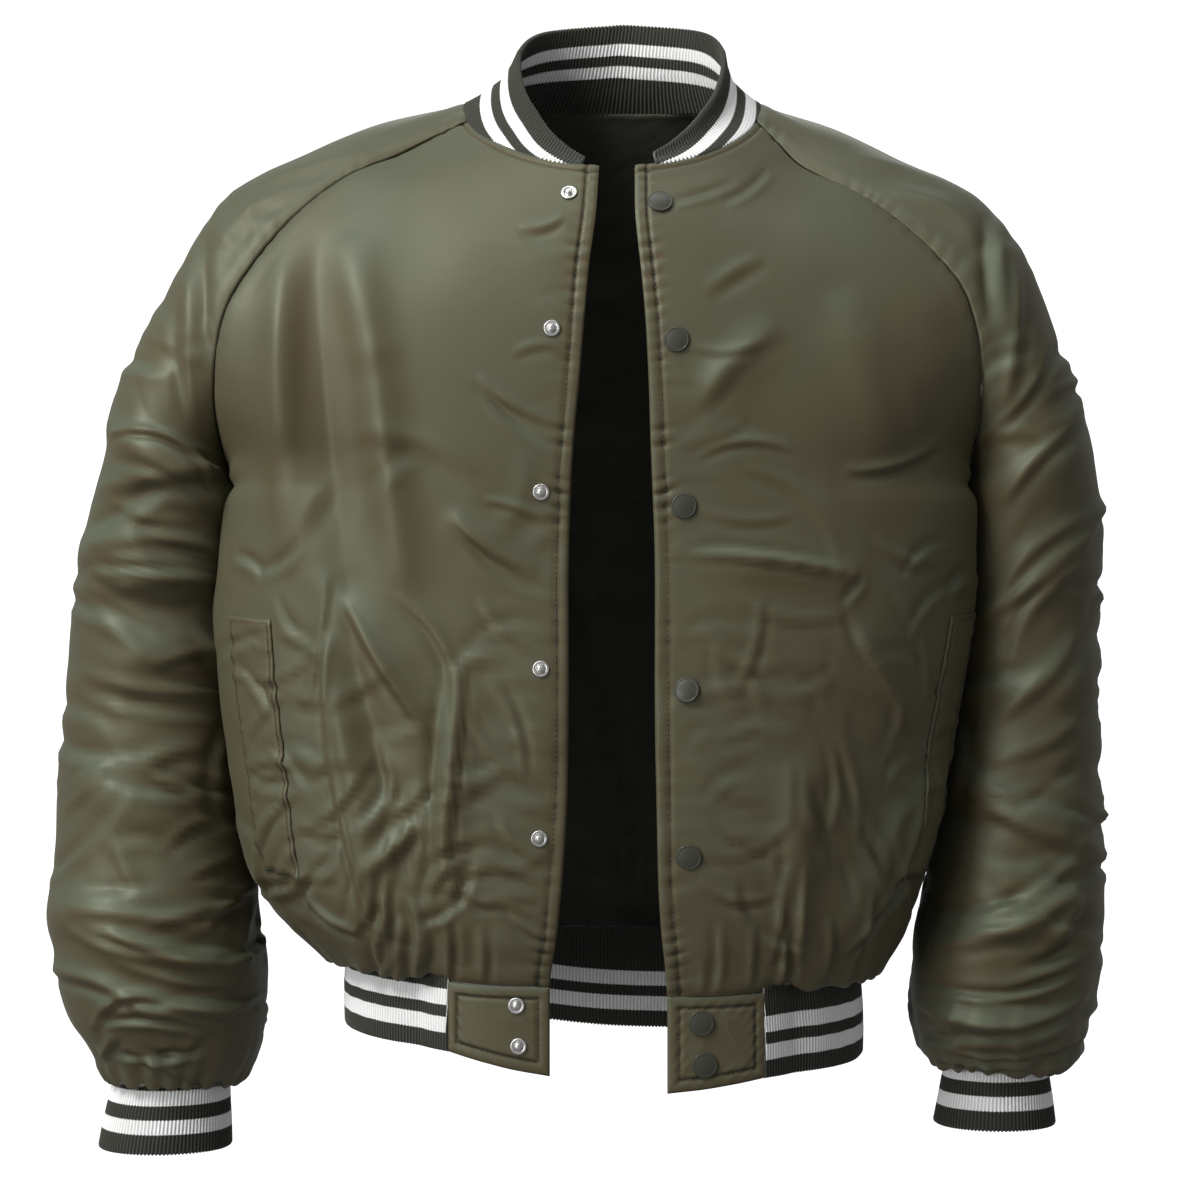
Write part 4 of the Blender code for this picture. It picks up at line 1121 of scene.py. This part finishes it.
def rib_piece(name, node, lines, pitch, stripes, flat, closed=False, rests_on=(), middle=(0.0, 0.0)):
    """A doubled rib-knit band, ribbed on both faces. Its lines run from the folded edge to the seam."""
    length = np.linalg.norm(np.diff(lines[0], axis=0), axis=1).sum()
    ribs = int(length / pitch)
    columns = ribs * RIB_STEPS + 1
    lines = np.array([resample(row, columns) for row in lines])
    grid = smooth(lines, np.linspace(0, len(lines) - 1, RIB_ROWS + 1))
    if closed:
        middle = grid[0][:, :2].mean(axis=0)
    out = unit(np.array([outwards(row, middle) for row in grid]))
    down = np.gradient(grid, axis=0)
    across = np.gradient(grid, axis=1)
    if closed:
        across[:, 0] = across[:, -1] = (grid[:, 1] - grid[:, -2]) / 2
    normal = unit(np.cross(across, down))
    normal *= np.sign((normal * out).sum())
    half = KNIT_WALL / 2
    back_ = unit(down[0])
    grid[0] += back_ * half
    _, v = lengths(grid)
    v = v / MM + half
    phase = np.arange(columns) / RIB_STEPS
    rib = np.cos(2 * np.pi * phase)
    rib = np.sign(rib) * np.abs(rib) ** 0.75
    uneven = noise(phase[None, :] / 9 + v / 200, v / 16, 17) * 0.5
    lift = WAVE * rib[None, :] * np.clip((v[-1:] - v) / 2 + 0.4, 0, 1)
    outer = grid + normal * (lift + uneven)[..., None]
    inner = grid - normal * (KNIT_WALL + lift - uneven)[..., None]
    centre, facing = (outer[0] + inner[0]) / 2, normal[0]
    reach = half + WAVE * rib[:, None]
    turns = [math.radians(turn) for turn in FOLD_TURNS]
    fold = [centre + facing * reach * math.cos(t) - back_ * reach * math.sin(t) for t in turns]
    points = np.concatenate([outer[::-1], fold, inner, outer[-1:]])
    if closed:
        points[:, -1] = points[:, 0]
    edge = np.array([half * math.cos(t) for t in turns])[:, None] * np.ones(columns)
    v = np.concatenate([v[::-1], edge, -v, -v[-1:] - KNIT_WALL])
    u = phase[None, :] * pitch * np.ones((len(points), 1))
    # painted shade for the knit: 0 in each rib's valley, 1 on its crest
    valley = rib * 0.5 + 0.5
    painted_shading = np.concatenate([np.tile(valley, (RIB_ROWS + 4, 1)), np.tile(valley, (RIB_ROWS + 1, 1)), [valley]])
    made = grid_piece(
        name, points, np.stack([u, v], -1) * MM, painted_shading[: len(points)], [knit(name, stripes)], None,
        0 if closed else None, True,
    )
    return declare(made, [node], "rib", *flat, rests_on=rests_on)


TUCK = 3.0  # how far a rib's seam edge goes under the satin
REACH = 1.6  # how far the ends of the hem go under the blocks


def hem_lines(fronts, back):
    right, left = fronts[RIGHT][-1, BLOCK_COLUMNS:], fronts[LEFT][-1, BLOCK_COLUMNS:]
    seam = np.concatenate([right, back[-1, 1:-1], left[::-1]])
    top = trim(resample(seam, 90), SEAM_GAP, SEAM_GAP)
    top -= outwards(top) * (WAVE + SEAM_GAP)
    bottom = top + outwards(top) * 1.5
    bottom[:, 2] = smooth(HEM_BOTTOM, np.linspace(0, len(HEM_BOTTOM) - 1, len(top)))
    for end, beside in ((0, 1), (-1, -2)):
        for row in (top, bottom):
            row[end] += unit(row[end] - row[beside]) * REACH
    return [bottom, (top + bottom) / 2 + outwards(top) * 1.0, top, top + (0, 0, TUCK)]


def cuff_lines(side):
    turn = np.linspace(0, 2 * np.pi, 49)
    rows = []
    for x, y, half_width, half_depth, z in CUFFS[side]:
        ring_x, ring_y = side * x + half_width * np.sin(turn), y - half_depth * np.cos(turn)
        rows.append(np.stack([ring_x, ring_y, np.full(len(turn), float(z))], -1))
    middle = (rows[0] + rows[1]) / 2
    return [rows[1], middle, rows[0]]


def collar_lines():
    angles = np.linspace(COLLAR_ENDS[LEFT], 360 - COLLAR_ENDS[RIGHT], 61)
    base = neckline(angles)
    out = outwards(base, (NECK_MIDDLE, 0.0))
    round_ = np.minimum(angles, 360 - angles)
    numbers = np.arange(LAST_COLLAR_ROW + 1)
    row = np.interp(round_, COLLAR("angle", numbers), numbers)
    rise, lean = COLLAR("rise", row)[:, None], np.radians(COLLAR("lean", row))[:, None]
    upward = np.array((0.0, 0.0, 1.0))
    foot = base - out * WAVE
    up = upward * rise * np.cos(lean) + np.array((COLLAR_SHIFT, 0, 0)) * rise / rise.max()
    inward = -out * rise * np.sin(lean)
    lines = [foot + up * high + inward * near for high, near in COLLAR_PROFILE]
    return lines + [foot - up / np.linalg.norm(up, axis=1, keepdims=True) * TUCK]


# width and length of each piece's own cut, how it is held, and the area of the cut, in metres
FLAT = {
    ("front", RIGHT): ((0.33, 0.62), "hung", 0.158),
    ("front", LEFT): ((0.32, 0.62), "hung", 0.147),
    ("back", 0): ((0.66, 0.66), "hung", 0.315),
    ("sleeve", RIGHT): ((0.46, 0.78), "gathered", 0.28),
    ("sleeve", LEFT): ((0.45, 0.77), "gathered", 0.262),
}
# white stripes, from and to, in metres from the folded edge of each band
COLLAR_STRIPES = ((0.013, 0.021), (0.028, 0.036))
HEM_STRIPES = ((0.0115, 0.0215), (0.029, 0.039))
CUFF_STRIPES = ((0.013, 0.0225), (0.0319, 0.0419))
WELT_ROWS = (17, 22)
WELT_COLUMNS = {RIGHT: (9, 12), LEFT: (11, 14)}

# Creases of the back, and of the back of a sleeve, as on the front.
BACK_CREASES = (
    (-200, -180, -150, -300, 12, 9, 2),
    (205, -170, 155, -290, -12, 9, 2),
    (-160, -380, -60, -350, 10, 8, 2),
    (-190, -440, -90, -500, 12, 8, 2.5),
    (180, -420, 80, -470, -12, 8, 2.5),
    (-30, -300, -45, -420, 8, 7, 1.8),
    (40, -330, 70, -450, -8, 7, 1.8),
    (-120, -480, -100, -560, 4, 6, 2.5),
    (-60, -500, -55, -565, 3, 5, 2),
    (10, -490, 8, -565, 3, 6, 2.5),
    (70, -500, 66, -565, 3, 5, 2),
    (120, -480, 112, -560, -4, 6, 2.5),
    (-90, -200, 60, -205, -6, 12, 1.2),
)
SLEEVE_BACK_CREASES = (
    (345, -300, 262, -330, 8, 9, 2.5),
    (330, -230, 270, -250, 6, 8, 2),
    (352, -430, 262, -400, 9, 9, 2.5),
    (350, -500, 250, -540, 9, 9, 2.5),
    (340, -560, 240, -590, 6, 7, 2.5),
    (335, -600, 240, -620, 5, 6, 2.5),
    (320, -170, 300, -290, 5, 10, 2),
)
# Listed creases: x0 z0 x1 z1 bow half-width height.
FRONT_CREASES = {
    RIGHT: (
        (186, -105, 165, -321, 5, 14.5, -3),
        (165, -321, 131, -466, 7, 10.9, -2.2),
        (154, -108, 126, -328, 1, 13.6, 1.3),
        (206, -120, 207, -309, 4, 9.9, 1.4),
        (80, -195, 29, -224, 4, 3.6, 1.3),
        (75, -203, 33, -238, 4, 3.6, -1),
        (74, -271, 38, -284, -1, 3, 1.8),
        (96, -283, 48, -316, 4, 3, 2.2),
        (87, -299, 30, -328, 8, 3, -1.5),
        (165, -337, 117, -411, 1, 3.6, 2.5),
        (176, -357, 175, -431, 2, 3.2, 2),
        (175, -431, 146, -549, 2, 3.6, 2.5),
        (92, -377, 103, -502, 0, 3, 2.2),
        (106, -391, 113, -497, 1, 4.1, -2),
        (111, -467, 151, -505, -1, 4.1, 1.7),
        (80, -334, 40, -369, 6, 3, 1.8),
        (87, -409, 44, -453, 5, 3, 2),
        (68, -384, 49, -441, -5, 3, -1.6),
        (68, -469, 38, -497, 7, 3, 1.8),
        (96, -509, 41, -513, -9, 3, 1.8),
        (141, -522, 141, -568, -1, 3, 2),
        (123, -526, 122, -573, -2, 3, 1.6),
        (102, -532, 102, -576, -1, 3, 2),
        (80, -541, 80, -579, -1, 3, 1.4),
        (198, -397, 177, -396, 4, 3, 1.4),
        (198, -438, 175, -436, 5, 3, 1.4),
        (196, -478, 166, -476, 5, 3, 1.6),
        (131, -334, 96, -397, -10, 3.6, 1.8),
        (146, -422, 134, -469, -3, 4.1, 1.3),
        (62, -526, 38, -548, 3, 3, 1.4),
        (30, -92, 55, -97, -3, 3, 1),
        (24, -177, 58, -178, 4, 3, 1),
        (33, -391, 68, -387, 5, 3, 1.2),
        (156, -227, 87, -252, -7, 8.1, 1),
        (193, -522, 159, -544, 5, 3, 2.2),
    ),
    LEFT: (
        (62, -138, 95, -117, 1, 5, 1.2),
        (58, -210, 103, -164, 4, 6.8, 1.2),
        (165, -164, 202, -221, 4, 11.8, 1.2),
        (51, -174, 97, -172, -5, 3, 1.3),
        (58, -277, 114, -281, -5, 3, 1.3),
        (43, -306, 154, -319, 4, 3.2, 2.4),
        (51, -299, 146, -310, 2, 3, -1.6),
        (146, -335, 160, -320, 0, 3, -1.6),
        (158, -359, 187, -413, 3, 3.6, 2.4),
        (109, -510, 103, -563, 2, 3, 1.8),
        (118, -502, 114, -561, 1, 3, -1.8),
        (199, -460, 152, -557, 8, 3.2, 2.8),
        (207, -434, 170, -542, 12, 3.6, -2.2),
        (58, -359, 116, -372, -10, 3, 1.8),
        (51, -397, 105, -397, 6, 3, 1.6),
        (51, -438, 97, -461, -6, 3, 1.8),
        (152, -252, 210, -234, -5, 3.6, 2),
        (58, -511, 103, -520, -7, 3, 1.8),
        (133, -397, 160, -478, 6, 3.6, 2),
        (70, -538, 70, -580, 1, 3, 2),
        (90, -541, 89, -579, 1, 3, 1.6),
        (111, -544, 111, -579, 1, 3, 2.2),
        (139, -538, 138, -576, 2, 3, 2),
        (165, -522, 160, -560, 1, 3, 2),
        (58, -585, 58, -560, -1, 3, 1),
        (83, -334, 146, -344, -7, 3.2, 1.6),
        (70, -472, 114, -494, -6, 3, 1.6),
        (171, -296, 215, -309, -7, 3.6, 1.6),
        (183, -334, 205, -397, 7, 3.6, 1.6),
        (58, -243, 114, -239, 7, 3, 1.2),
        (43, -79, 81, -65, -1, 3, -1.3),
        (75, -78, 103, -54, -3, 3.2, -1.3),
    ),
}
SLEEVE_CREASES = {
    RIGHT: (
        (263, -96, 256, -179, 2, 5.7, -3),
        (274, -132, 266, -213, 1, 5.7, 2),
        (320, -226, 257, -257, -14, 3, 2.8),
        (318, -244, 258, -273, -7, 4.2, -1.4),
        (331, -298, 256, -299, -6, 5.7, 2.2),
        (342, -313, 255, -316, -3, 3.1, -2.8),
        (294, -376, 250, -367, -3, 3, 2.6),
        (292, -384, 250, -393, 0, 3.1, -2.6),
        (342, -382, 252, -394, 5, 4.2, 2.4),
        (342, -394, 252, -407, 4, 3, -2.4),
        (357, -472, 327, -446, 2, 3, 1.6),
        (351, -450, 329, -437, 0, 3, -1.6),
        (289, -498, 248, -479, -8, 3, 2.2),
        (274, -514, 245, -504, -1, 3, 2),
        (299, -438, 243, -464, 9, 3.7, 1.6),
        (345, -535, 261, -547, -2, 4.2, 3),
        (334, -544, 256, -558, 1, 3.1, -2.6),
        (261, -547, 248, -531, 0, 3, 2.2),
        (322, -547, 244, -573, 5, 3.1, 2.8),
        (319, -561, 246, -582, 3, 3.1, -2.2),
        (335, -612, 282, -595, -14, 3.1, 3),
        (282, -595, 246, -605, 0, 3.1, 2.6),
        (325, -607, 266, -612, -5, 3.1, -2.8),
        (333, -635, 321, -617, 0, 3, 2.2),
        (297, -635, 288, -623, 0, 3, 1.8),
        (279, -635, 268, -617, 0, 3, 1.8),
        (250, -601, 228, -595, 1, 3.1, 2.4),
        (325, -629, 266, -627, 3, 3.1, -2),
        (253, -412, 256, -484, 8, 4.2, -1.5),
        (325, -269, 266, -282, 5, 3.7, 1.2),
        (233, -530, 237, -578, 5, 3.1, 2),
        (243, -67, 162, -41, -3, 6.3, 1.2),
        (256, -112, 201, -63, -9, 7.3, 1.4),
    ),
    LEFT: (
        (246, -85, 245, -159, -2, 5.7, -3),
        (262, -106, 256, -204, 2, 5.7, 2),
        (324, -275, 249, -347, -15, 4.7, 2),
        (321, -298, 259, -367, -13, 4.2, -2),
        (230, -451, 318, -497, -8, 4.7, 2),
        (236, -435, 319, -474, -7, 4.2, -2),
        (216, -559, 306, -517, -10, 4.7, 2.5),
        (213, -539, 301, -497, -9, 4.2, -2.5),
        (207, -600, 309, -595, -10, 4.2, 2.5),
        (210, -585, 308, -572, -9, 3.1, -2.5),
        (210, -624, 299, -621, -8, 3.1, 2.5),
        (213, -635, 288, -633, -5, 3, 2),
        (314, -347, 249, -414, 4, 5.7, 2),
        (319, -399, 249, -438, 8, 4.7, 1.6),
        (230, -399, 230, -477, 10, 4.2, -1.8),
        (308, -217, 256, -269, -5, 4.7, 1.8),
        (288, -164, 249, -223, 4, 4.2, 1.6),
        (262, -595, 261, -634, -3, 3, -1.6),
        (233, -595, 235, -634, -3, 3, -1.6),
        (207, -510, 205, -569, 4, 3.1, 2),
        (230, -60, 164, -41, -2, 6.3, 1.2),
        (246, -106, 190, -67, -9, 7.3, 1.4),
    ),
}


def block_piece(side, coarse):
    """The satin block at a front's end of the hem, with a row of topstitching all round."""
    word = name_of(side)
    top = coarse[-1, : BLOCK_COLUMNS + 1]
    edge, end = BLOCK_BOTTOM[side]
    bottom = top.copy()
    bottom[:, 2] = np.linspace(edge, end, len(top))
    lines = np.array([top + (bottom - top) * share for share in np.linspace(0, 1, 5)])
    grid = dense(lines, 65, 65)
    outward = -side
    normals = grid_normals(grid, outward)
    u, v = lengths(grid)
    um, vm = u / MM, v / MM
    near = np.minimum(np.minimum(um, um[:, -1:] - um), np.minimum(vm, vm[-1:] - vm))
    topstitch = groove(near, 7.5)
    lift = 0.9 * np.clip(near / 3, 0, 1) ** 0.5 - 0.9 - 0.9 * topstitch
    lift += 0.5 * crumple(um, vm, 14, 40, 1.8, 101 + side) * np.clip(near / 6, 0, 1)
    ripple = np.sin(2 * np.pi * (um + vm) / 9 + 3 * noise(um / 20, vm / 20, 6))
    lift += 0.14 * ripple * np.exp(-(((near - 8) / 5) ** 2))
    points = grid + normals * lift[..., None]
    uv = np.stack([u, v], -1)
    # painted light and shade from the folds, and painted shade in the topstitch groove
    painted_shading = np.clip(painted_shading_of(points, normals, outward) - 0.35 * topstitch, 0, 1)
    made = grid_piece("hem_block_" + word, points, uv, painted_shading, [SATIN, SATIN], SATIN_WALL)
    outward_faces(made, (points[32, 32], normals[32, 32]))
    declare(made, ["hem_placket_" + word], "satin_block", (0.066, 0.062), "hung", None, ["front_" + word])
    return points, grid_normals(points, outward), u, v


WELT_RISE, WELT_THICK = 1.9, 1.2


def welt_piece(side, points, normals):
    """A pocket's welt: a folded satin strip, stitched down along both sides and at its ends."""
    word = name_of(side)
    rows, columns = [
        slice(*((cell - 1) * FRONT_FINE + FIRST_FINE + extra for cell, extra in zip(cells, (0, 1))))
        for cells in (WELT_ROWS, WELT_COLUMNS[side])
    ]
    under, normal = points[rows, columns], normals[rows, columns]
    shape = (int(1.6 * under.shape[0]), 2 * under.shape[1] + 5)
    under, normal = dense(under, *shape), unit(dense(normal, *shape))
    uu, vv = lengths(under)
    um, vm = uu / MM, vv / MM
    near = np.minimum(np.minimum(um, um[:, -1:] - um), np.minimum(vm, vm[-1:] - vm))
    lift = WELT_RISE * np.clip(near / 1.5, 0.25, 1) ** 0.6 - 0.5 * groove(near, 3.0)
    pucker = np.sin(2 * np.pi * vm / 11 + 4 * noise(vm / 25, um / 25, 12))
    pucker = pucker * (0.5 + 0.5 * noise(vm / 18, um / 40, 13))
    lift += 0.5 * pucker * np.exp(-(((near - 3) / 6) ** 2)) + 0.35 * crumple(um, vm, 14, 10, 2.0, 111 + side)
    grid = under + normal * lift[..., None]
    outward = -side
    # painted light and shade from the folds, and painted shade in the stitched groove
    painted_shading = np.clip(painted_shading_of(grid, normal, outward) - 0.3 * groove(near, 3.0), 0, 1)
    made = grid_piece("welt_" + word, grid, np.stack([uu, vv], -1), painted_shading, [SATIN, SATIN], WELT_THICK)
    middle = shape[0] // 2, shape[1] // 2
    outward_faces(made, (grid[middle], normal[middle]))
    nodes, on = ["pocket_welt_" + word], ["front_" + word]
    declare(made, nodes, "satin_welt", WELT_FLAT[side], "stretched", None, on)
    return grid, grid_normals(grid, outward), uu, vv


WELT_FLAT = {RIGHT: (0.030, 0.172), LEFT: (0.036, 0.178)}


def inset_path(points, normals, distance, at):
    """Points and normals along a panel where a distance of each row (or column) has one value."""
    picked, facing = [], []
    for row, normal, far in zip(points, normals, distance):
        order = np.argsort(far)
        picked.append([np.interp(at, far[order], row[order, axis]) for axis in range(3)])
        facing.append([np.interp(at, far[order], normal[order, axis]) for axis in range(3)])
    return np.array(picked), unit(np.array(facing))


STITCH_PITCH, STITCH_LENGTH, STITCH_WIDE, STITCH_HIGH = 3.3, 2.3, 0.55, 0.32


def stitch_row(mesh, path, facing):
    """A row of stitches on the cloth, each a small rounded bar."""
    steps = np.linalg.norm(np.diff(path, axis=0), axis=1)
    length = np.append(0, np.cumsum(steps))
    count = int(length[-1] / STITCH_PITCH)
    at = (np.arange(count) + 0.5) * STITCH_PITCH
    centre = np.stack([np.interp(at, length, path[:, axis]) for axis in range(3)], -1)
    normal = unit(np.stack([np.interp(at, length, facing[:, axis]) for axis in range(3)], -1))
    way = np.stack([np.interp(at + 0.5, length, path[:, axis]) for axis in range(3)], -1) - centre
    way = unit(way - normal * (way * normal).sum(-1, keepdims=True))
    for point, up, along in zip(centre, normal, way):
        over = np.cross(up, along)
        rows = [[over[i], along[i], up[i], point[i] + up[i] * 0.12] for i in range(3)]
        turn = Matrix(rows + [[0, 0, 0, 1]])
        size = Matrix.Diagonal((STITCH_WIDE / 2, STITCH_LENGTH / 2, STITCH_HIGH, 1))
        matrix = Matrix.Scale(MM, 4) @ turn @ size
        bmesh.ops.create_uvsphere(mesh, u_segments=6, v_segments=4, radius=1, matrix=matrix)


def stitches(name, rows_):
    mesh = bmesh.new()
    for path, facing in rows_:
        stitch_row(mesh, path, facing)
    for face in mesh.faces:
        face.smooth = True
    data = bpy.data.meshes.new(name)
    mesh.to_mesh(data)
    mesh.free()
    data.materials.append(THREAD)
    made = bpy.data.objects.new(name, data)
    bpy.context.scene.collection.objects.link(made)
    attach(made, "root")
    return made


SNAP_ROUND = 48


def turned(name, profile, material):
    """A turned fitting about +Z, from its radius and height pairs."""
    mesh = bmesh.new()
    line = [mesh.verts.new((r * MM, 0, h * MM)) for r, h in profile]
    edges = [mesh.edges.new(pair) for pair in zip(line, line[1:])]
    about = {"cent": (0, 0, 0), "axis": (0, 0, 1), "angle": 2 * math.pi}
    bmesh.ops.spin(mesh, geom=line + edges, steps=SNAP_ROUND, use_merge=True, **about)
    bmesh.ops.remove_doubles(mesh, verts=mesh.verts, dist=1e-7)
    bmesh.ops.recalc_face_normals(mesh, faces=mesh.faces)
    for face in mesh.faces:
        face.smooth = True
    data = bpy.data.meshes.new(name)
    mesh.to_mesh(data)
    mesh.free()
    data.materials.append(material)
    return data


def arc_points(r0, h0, r1, h1, swell, steps=6):
    """Points of a profile from one pair to another, swelling out to the right of the way."""
    found = []
    for share in np.linspace(0, 1, steps + 1)[1:]:
        bow = swell * 4 * share * (1 - share)
        way = np.array((r1 - r0, h1 - h0))
        side = np.array((way[1], -way[0])) / max(np.linalg.norm(way), 1e-9)
        found.append(tuple(np.array((r0, h0)) + way * share + side * bow))
    return found


CAP_FORM = (
    [(0, 0.2), (7.4, 0.0)]
    + arc_points(7.4, 0.0, 8.0, 0.8, 0.25)
    + arc_points(8.0, 0.8, 7.1, 1.6, 0.3)
    + arc_points(7.1, 1.6, 6.7, 1.5, -0.05, 3)
    + [(6.7 * share, 1.5 + 0.8 * (1 - share**2)) for share in np.linspace(0.85, 0, 7)]
)
STUD_FORM = (
    [(0, 0.1), (4.7, 0.0)]
    + arc_points(4.7, 0.0, 5.25, 0.6, 0.2, 4)
    + arc_points(5.25, 0.6, 4.4, 1.25, 0.25, 5)
    + arc_points(4.4, 1.25, 3.3, 1.0, 0.1, 4)
    + arc_points(3.3, 1.0, 2.7, 0.25, 0.1, 3)
    + [(1.9, 0.25)]
    + arc_points(1.9, 0.25, 2.1, 2.2, -0.1, 4)
    + arc_points(2.1, 2.2, 1.4, 3.0, 0.2, 4)
    + [(0.7, 3.15), (0.0, 3.2)]
)
SOCKET_FORM = (
    [(0, 0.0), (5.6, 0.0)]
    + arc_points(5.6, 0.0, 5.95, 0.7, 0.15, 4)
    + arc_points(5.95, 0.7, 5.2, 1.9, 0.3, 5)
    + arc_points(5.2, 1.9, 3.0, 1.9, 0.1, 4)
    + [(2.6, 1.2), (2.4, 0.9), (0.0, 0.9)]
)


def seat_on(points, normals, x, z):
    """The point and normal of a fine panel nearest to an x and z of the front view."""
    away = np.hypot(points[..., 0] - x, points[..., 2] - z) + np.where(normals[..., 1] > 0, 1e3, 0)
    at = np.unravel_index(np.argmin(away), away.shape)
    return points[at], normals[at]


def snap_piece(name, data, point, normal, facing, node):
    made = bpy.data.objects.new(name, data.copy())
    bpy.context.scene.collection.objects.link(made)
    normal = normal * facing
    aim = Vector(normal).to_track_quat("Z", "Y").to_matrix().to_4x4()
    made.data.transform(Matrix.Translation(Vector((point + normal * 0.15) * MM)) @ aim)
    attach(made, "root")
    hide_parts(node)
    return made


SATIN, LININGS = satin("satin"), lining("lining")
THREAD = thread("thread")
STEEL_FINISH, ENAMEL_FINISH = steel("steel"), enamel("enamel")
SNAP_DATA = {
    "cap": turned("cap", CAP_FORM, ENAMEL_FINISH),
    "stud": turned("stud", STUD_FORM, STEEL_FINISH),
    "socket": turned("socket", SOCKET_FORM, STEEL_FINISH),
}

coarse_fronts = {side: front_grid(side) for side in (RIGHT, LEFT)}
coarse_back = back_grid()
rib_piece(
    "collar", "collar_rib", collar_lines(), 2.6, COLLAR_STRIPES, ((0.60, 0.062), "stretched", 0.027),
    rests_on=["front_right", "front_left"], middle=(NECK_MIDDLE, 0.0),
)
hem = hem_lines(coarse_fronts, coarse_back)
rib_piece("hem", "hem_rib", hem, 2.4, HEM_STRIPES, ((0.80, 0.066), "stretched", None), rests_on=["back"])
for side in (RIGHT, LEFT):
    word = name_of(side)
    points, normals, u, v = front_piece(side)
    sleeve_piece(side)
    cuff_size = ((0.285 if side == RIGHT else 0.262, 0.056), "stretched", None)
    rib_piece("rib_cuff_" + word, "cuff_" + word, cuff_lines(side), 2.6, CUFF_STRIPES, cuff_size,
              closed=True, rests_on=["sleeve_cloth_" + word])
    block = block_piece(side, coarse_fronts[side])
    welt = welt_piece(side, points, normals)
    lines = [inset_path(points, normals, u / MM, 8.0)]
    neck = inset_path(points.swapaxes(0, 1), normals.swapaxes(0, 1), (v / MM).T, 5.5)
    lines.append((neck[0][3:-2], neck[1][3:-2]))
    stitches("stitches_front_" + word, lines)
    rows_ = []
    for grid, normal, across, along, inset in ((*block, 7.5), (*welt, 3.0)):
        um, vm = across / MM, along / MM
        turned_ = grid.swapaxes(0, 1), normal.swapaxes(0, 1)
        low, high = inset, -inset
        for path in (
            inset_path(grid, normal, um, inset),
            inset_path(grid, normal, um[:, -1:] - um, inset),
            inset_path(*turned_, vm.T, inset),
            inset_path(*turned_, (vm[-1:] - vm).T, inset),
        ):
            length = np.linalg.norm(np.diff(path[0], axis=0), axis=1).sum()
            cut = max(1, round(len(path[0]) * inset / length))
            rows_.append((path[0][cut:-cut], path[1][cut:-cut]))
    stitches("stitches_trim_" + word, rows_)
    places, kind, slot = (STUDS, "stud", "stud") if side == RIGHT else (CAPS, "cap", "cap")
    for number, (x, z) in enumerate(places, 1):
        cloth = (points, normals) if number <= SNAPS_ON_FRONT else block[:2]
        point, normal = seat_on(*cloth, side * x, z)
        snap_piece(f"{kind}_{number}", SNAP_DATA[kind], point, normal, 1, f"snap_{kind}_{number}")
        if side == LEFT:
            inside = point - normal * (SATIN_WALL + 0.3)
            node = f"snap_socket_{number}"
            snap_piece(f"socket_{number}", SNAP_DATA["socket"], inside, normal, -1, node)
back_piece()


# ---- studio ----


FLOOR, ROOM = -1.45, 7.0  # the floor's height, and the room's radius


def stage_piece():
    """A pale floor that sweeps up all round into a pale dome."""
    mesh = bmesh.new()
    bmesh.ops.create_uvsphere(mesh, u_segments=64, v_segments=48, radius=ROOM)
    for vert in mesh.verts:
        vert.co.z = max(vert.co.z, FLOOR)
    bmesh.ops.smooth_vert(mesh, verts=mesh.verts, factor=0.5, use_axis_z=True)
    for face in mesh.faces:
        face.smooth = True
    data = bpy.data.meshes.new("floor")
    mesh.to_mesh(data)
    mesh.free()
    made = bpy.data.objects.new("floor", data)
    bpy.context.scene.collection.objects.link(made)
    f = Finish("paper")
    place = f.node("TexCoord", {}, {}, 3)
    grain = f.noise(place, 40.0, 3.0)
    colour = f.mix(grain, (0.86, 0.86, 0.86), (0.90, 0.90, 0.90))
    data.materials.append(
        f.done(Base_Color=colour, Roughness=0.9, Emission_Color=(1.0, 1.0, 1.0), Emission_Strength=0.9)
    )
    made.visible_diffuse = made.visible_glossy = made.visible_shadow = False
    return made


def light(name, at, aim, size, power, colour=(1.0, 1.0, 1.0)):
    data = bpy.data.lights.new(name, "AREA")
    data.shape = "RECTANGLE"
    data.size, data.size_y = size
    data.energy = power
    data.color = colour
    made = bpy.data.objects.new(name, data)
    bpy.context.scene.collection.objects.link(made)
    made.location = at
    made.rotation_euler = (Vector(aim) - Vector(at)).to_track_quat("-Z", "Y").to_euler()
    return made


stage_piece()
light("key", (-1.6, -1.35, 1.5), (-0.05, 0, -0.38), (1.1, 1.1), 72)
light("fill", (2.0, -2.0, 0.3), (0, 0, -0.40), (1.2, 1.8), 2)
light("low", (-1.8, -2.1, -0.4), (-0.1, 0, -0.55), (1.2, 1.2), 26)
light("top", (-0.1, -0.4, 2.0), (0, 0, -0.3), (1.8, 0.9), 18)
light("back", (0.2, 2.6, 1.6), (0, 0, -0.3), (1.6, 1.2), 12)

world = bpy.data.worlds.new("studio")
world.use_nodes = True
world.node_tree.nodes["Background"].inputs["Color"].default_value = (0.95, 0.97, 1.0, 1)
world.node_tree.nodes["Background"].inputs["Strength"].default_value = 0.27
bpy.context.scene.world = world
bpy.context.scene.view_settings.view_transform = "Standard"

camera = bpy.data.objects.new("camera", bpy.data.cameras.new("camera"))
bpy.context.scene.collection.objects.link(camera)
camera.data.sensor_width, camera.data.lens = 36.0, 96.0
camera.location = (-0.0054, -2.15, -0.334)
camera.rotation_euler = (math.pi / 2, 0, 0)
camera.data.clip_end = 50
bpy.context.scene.camera = camera
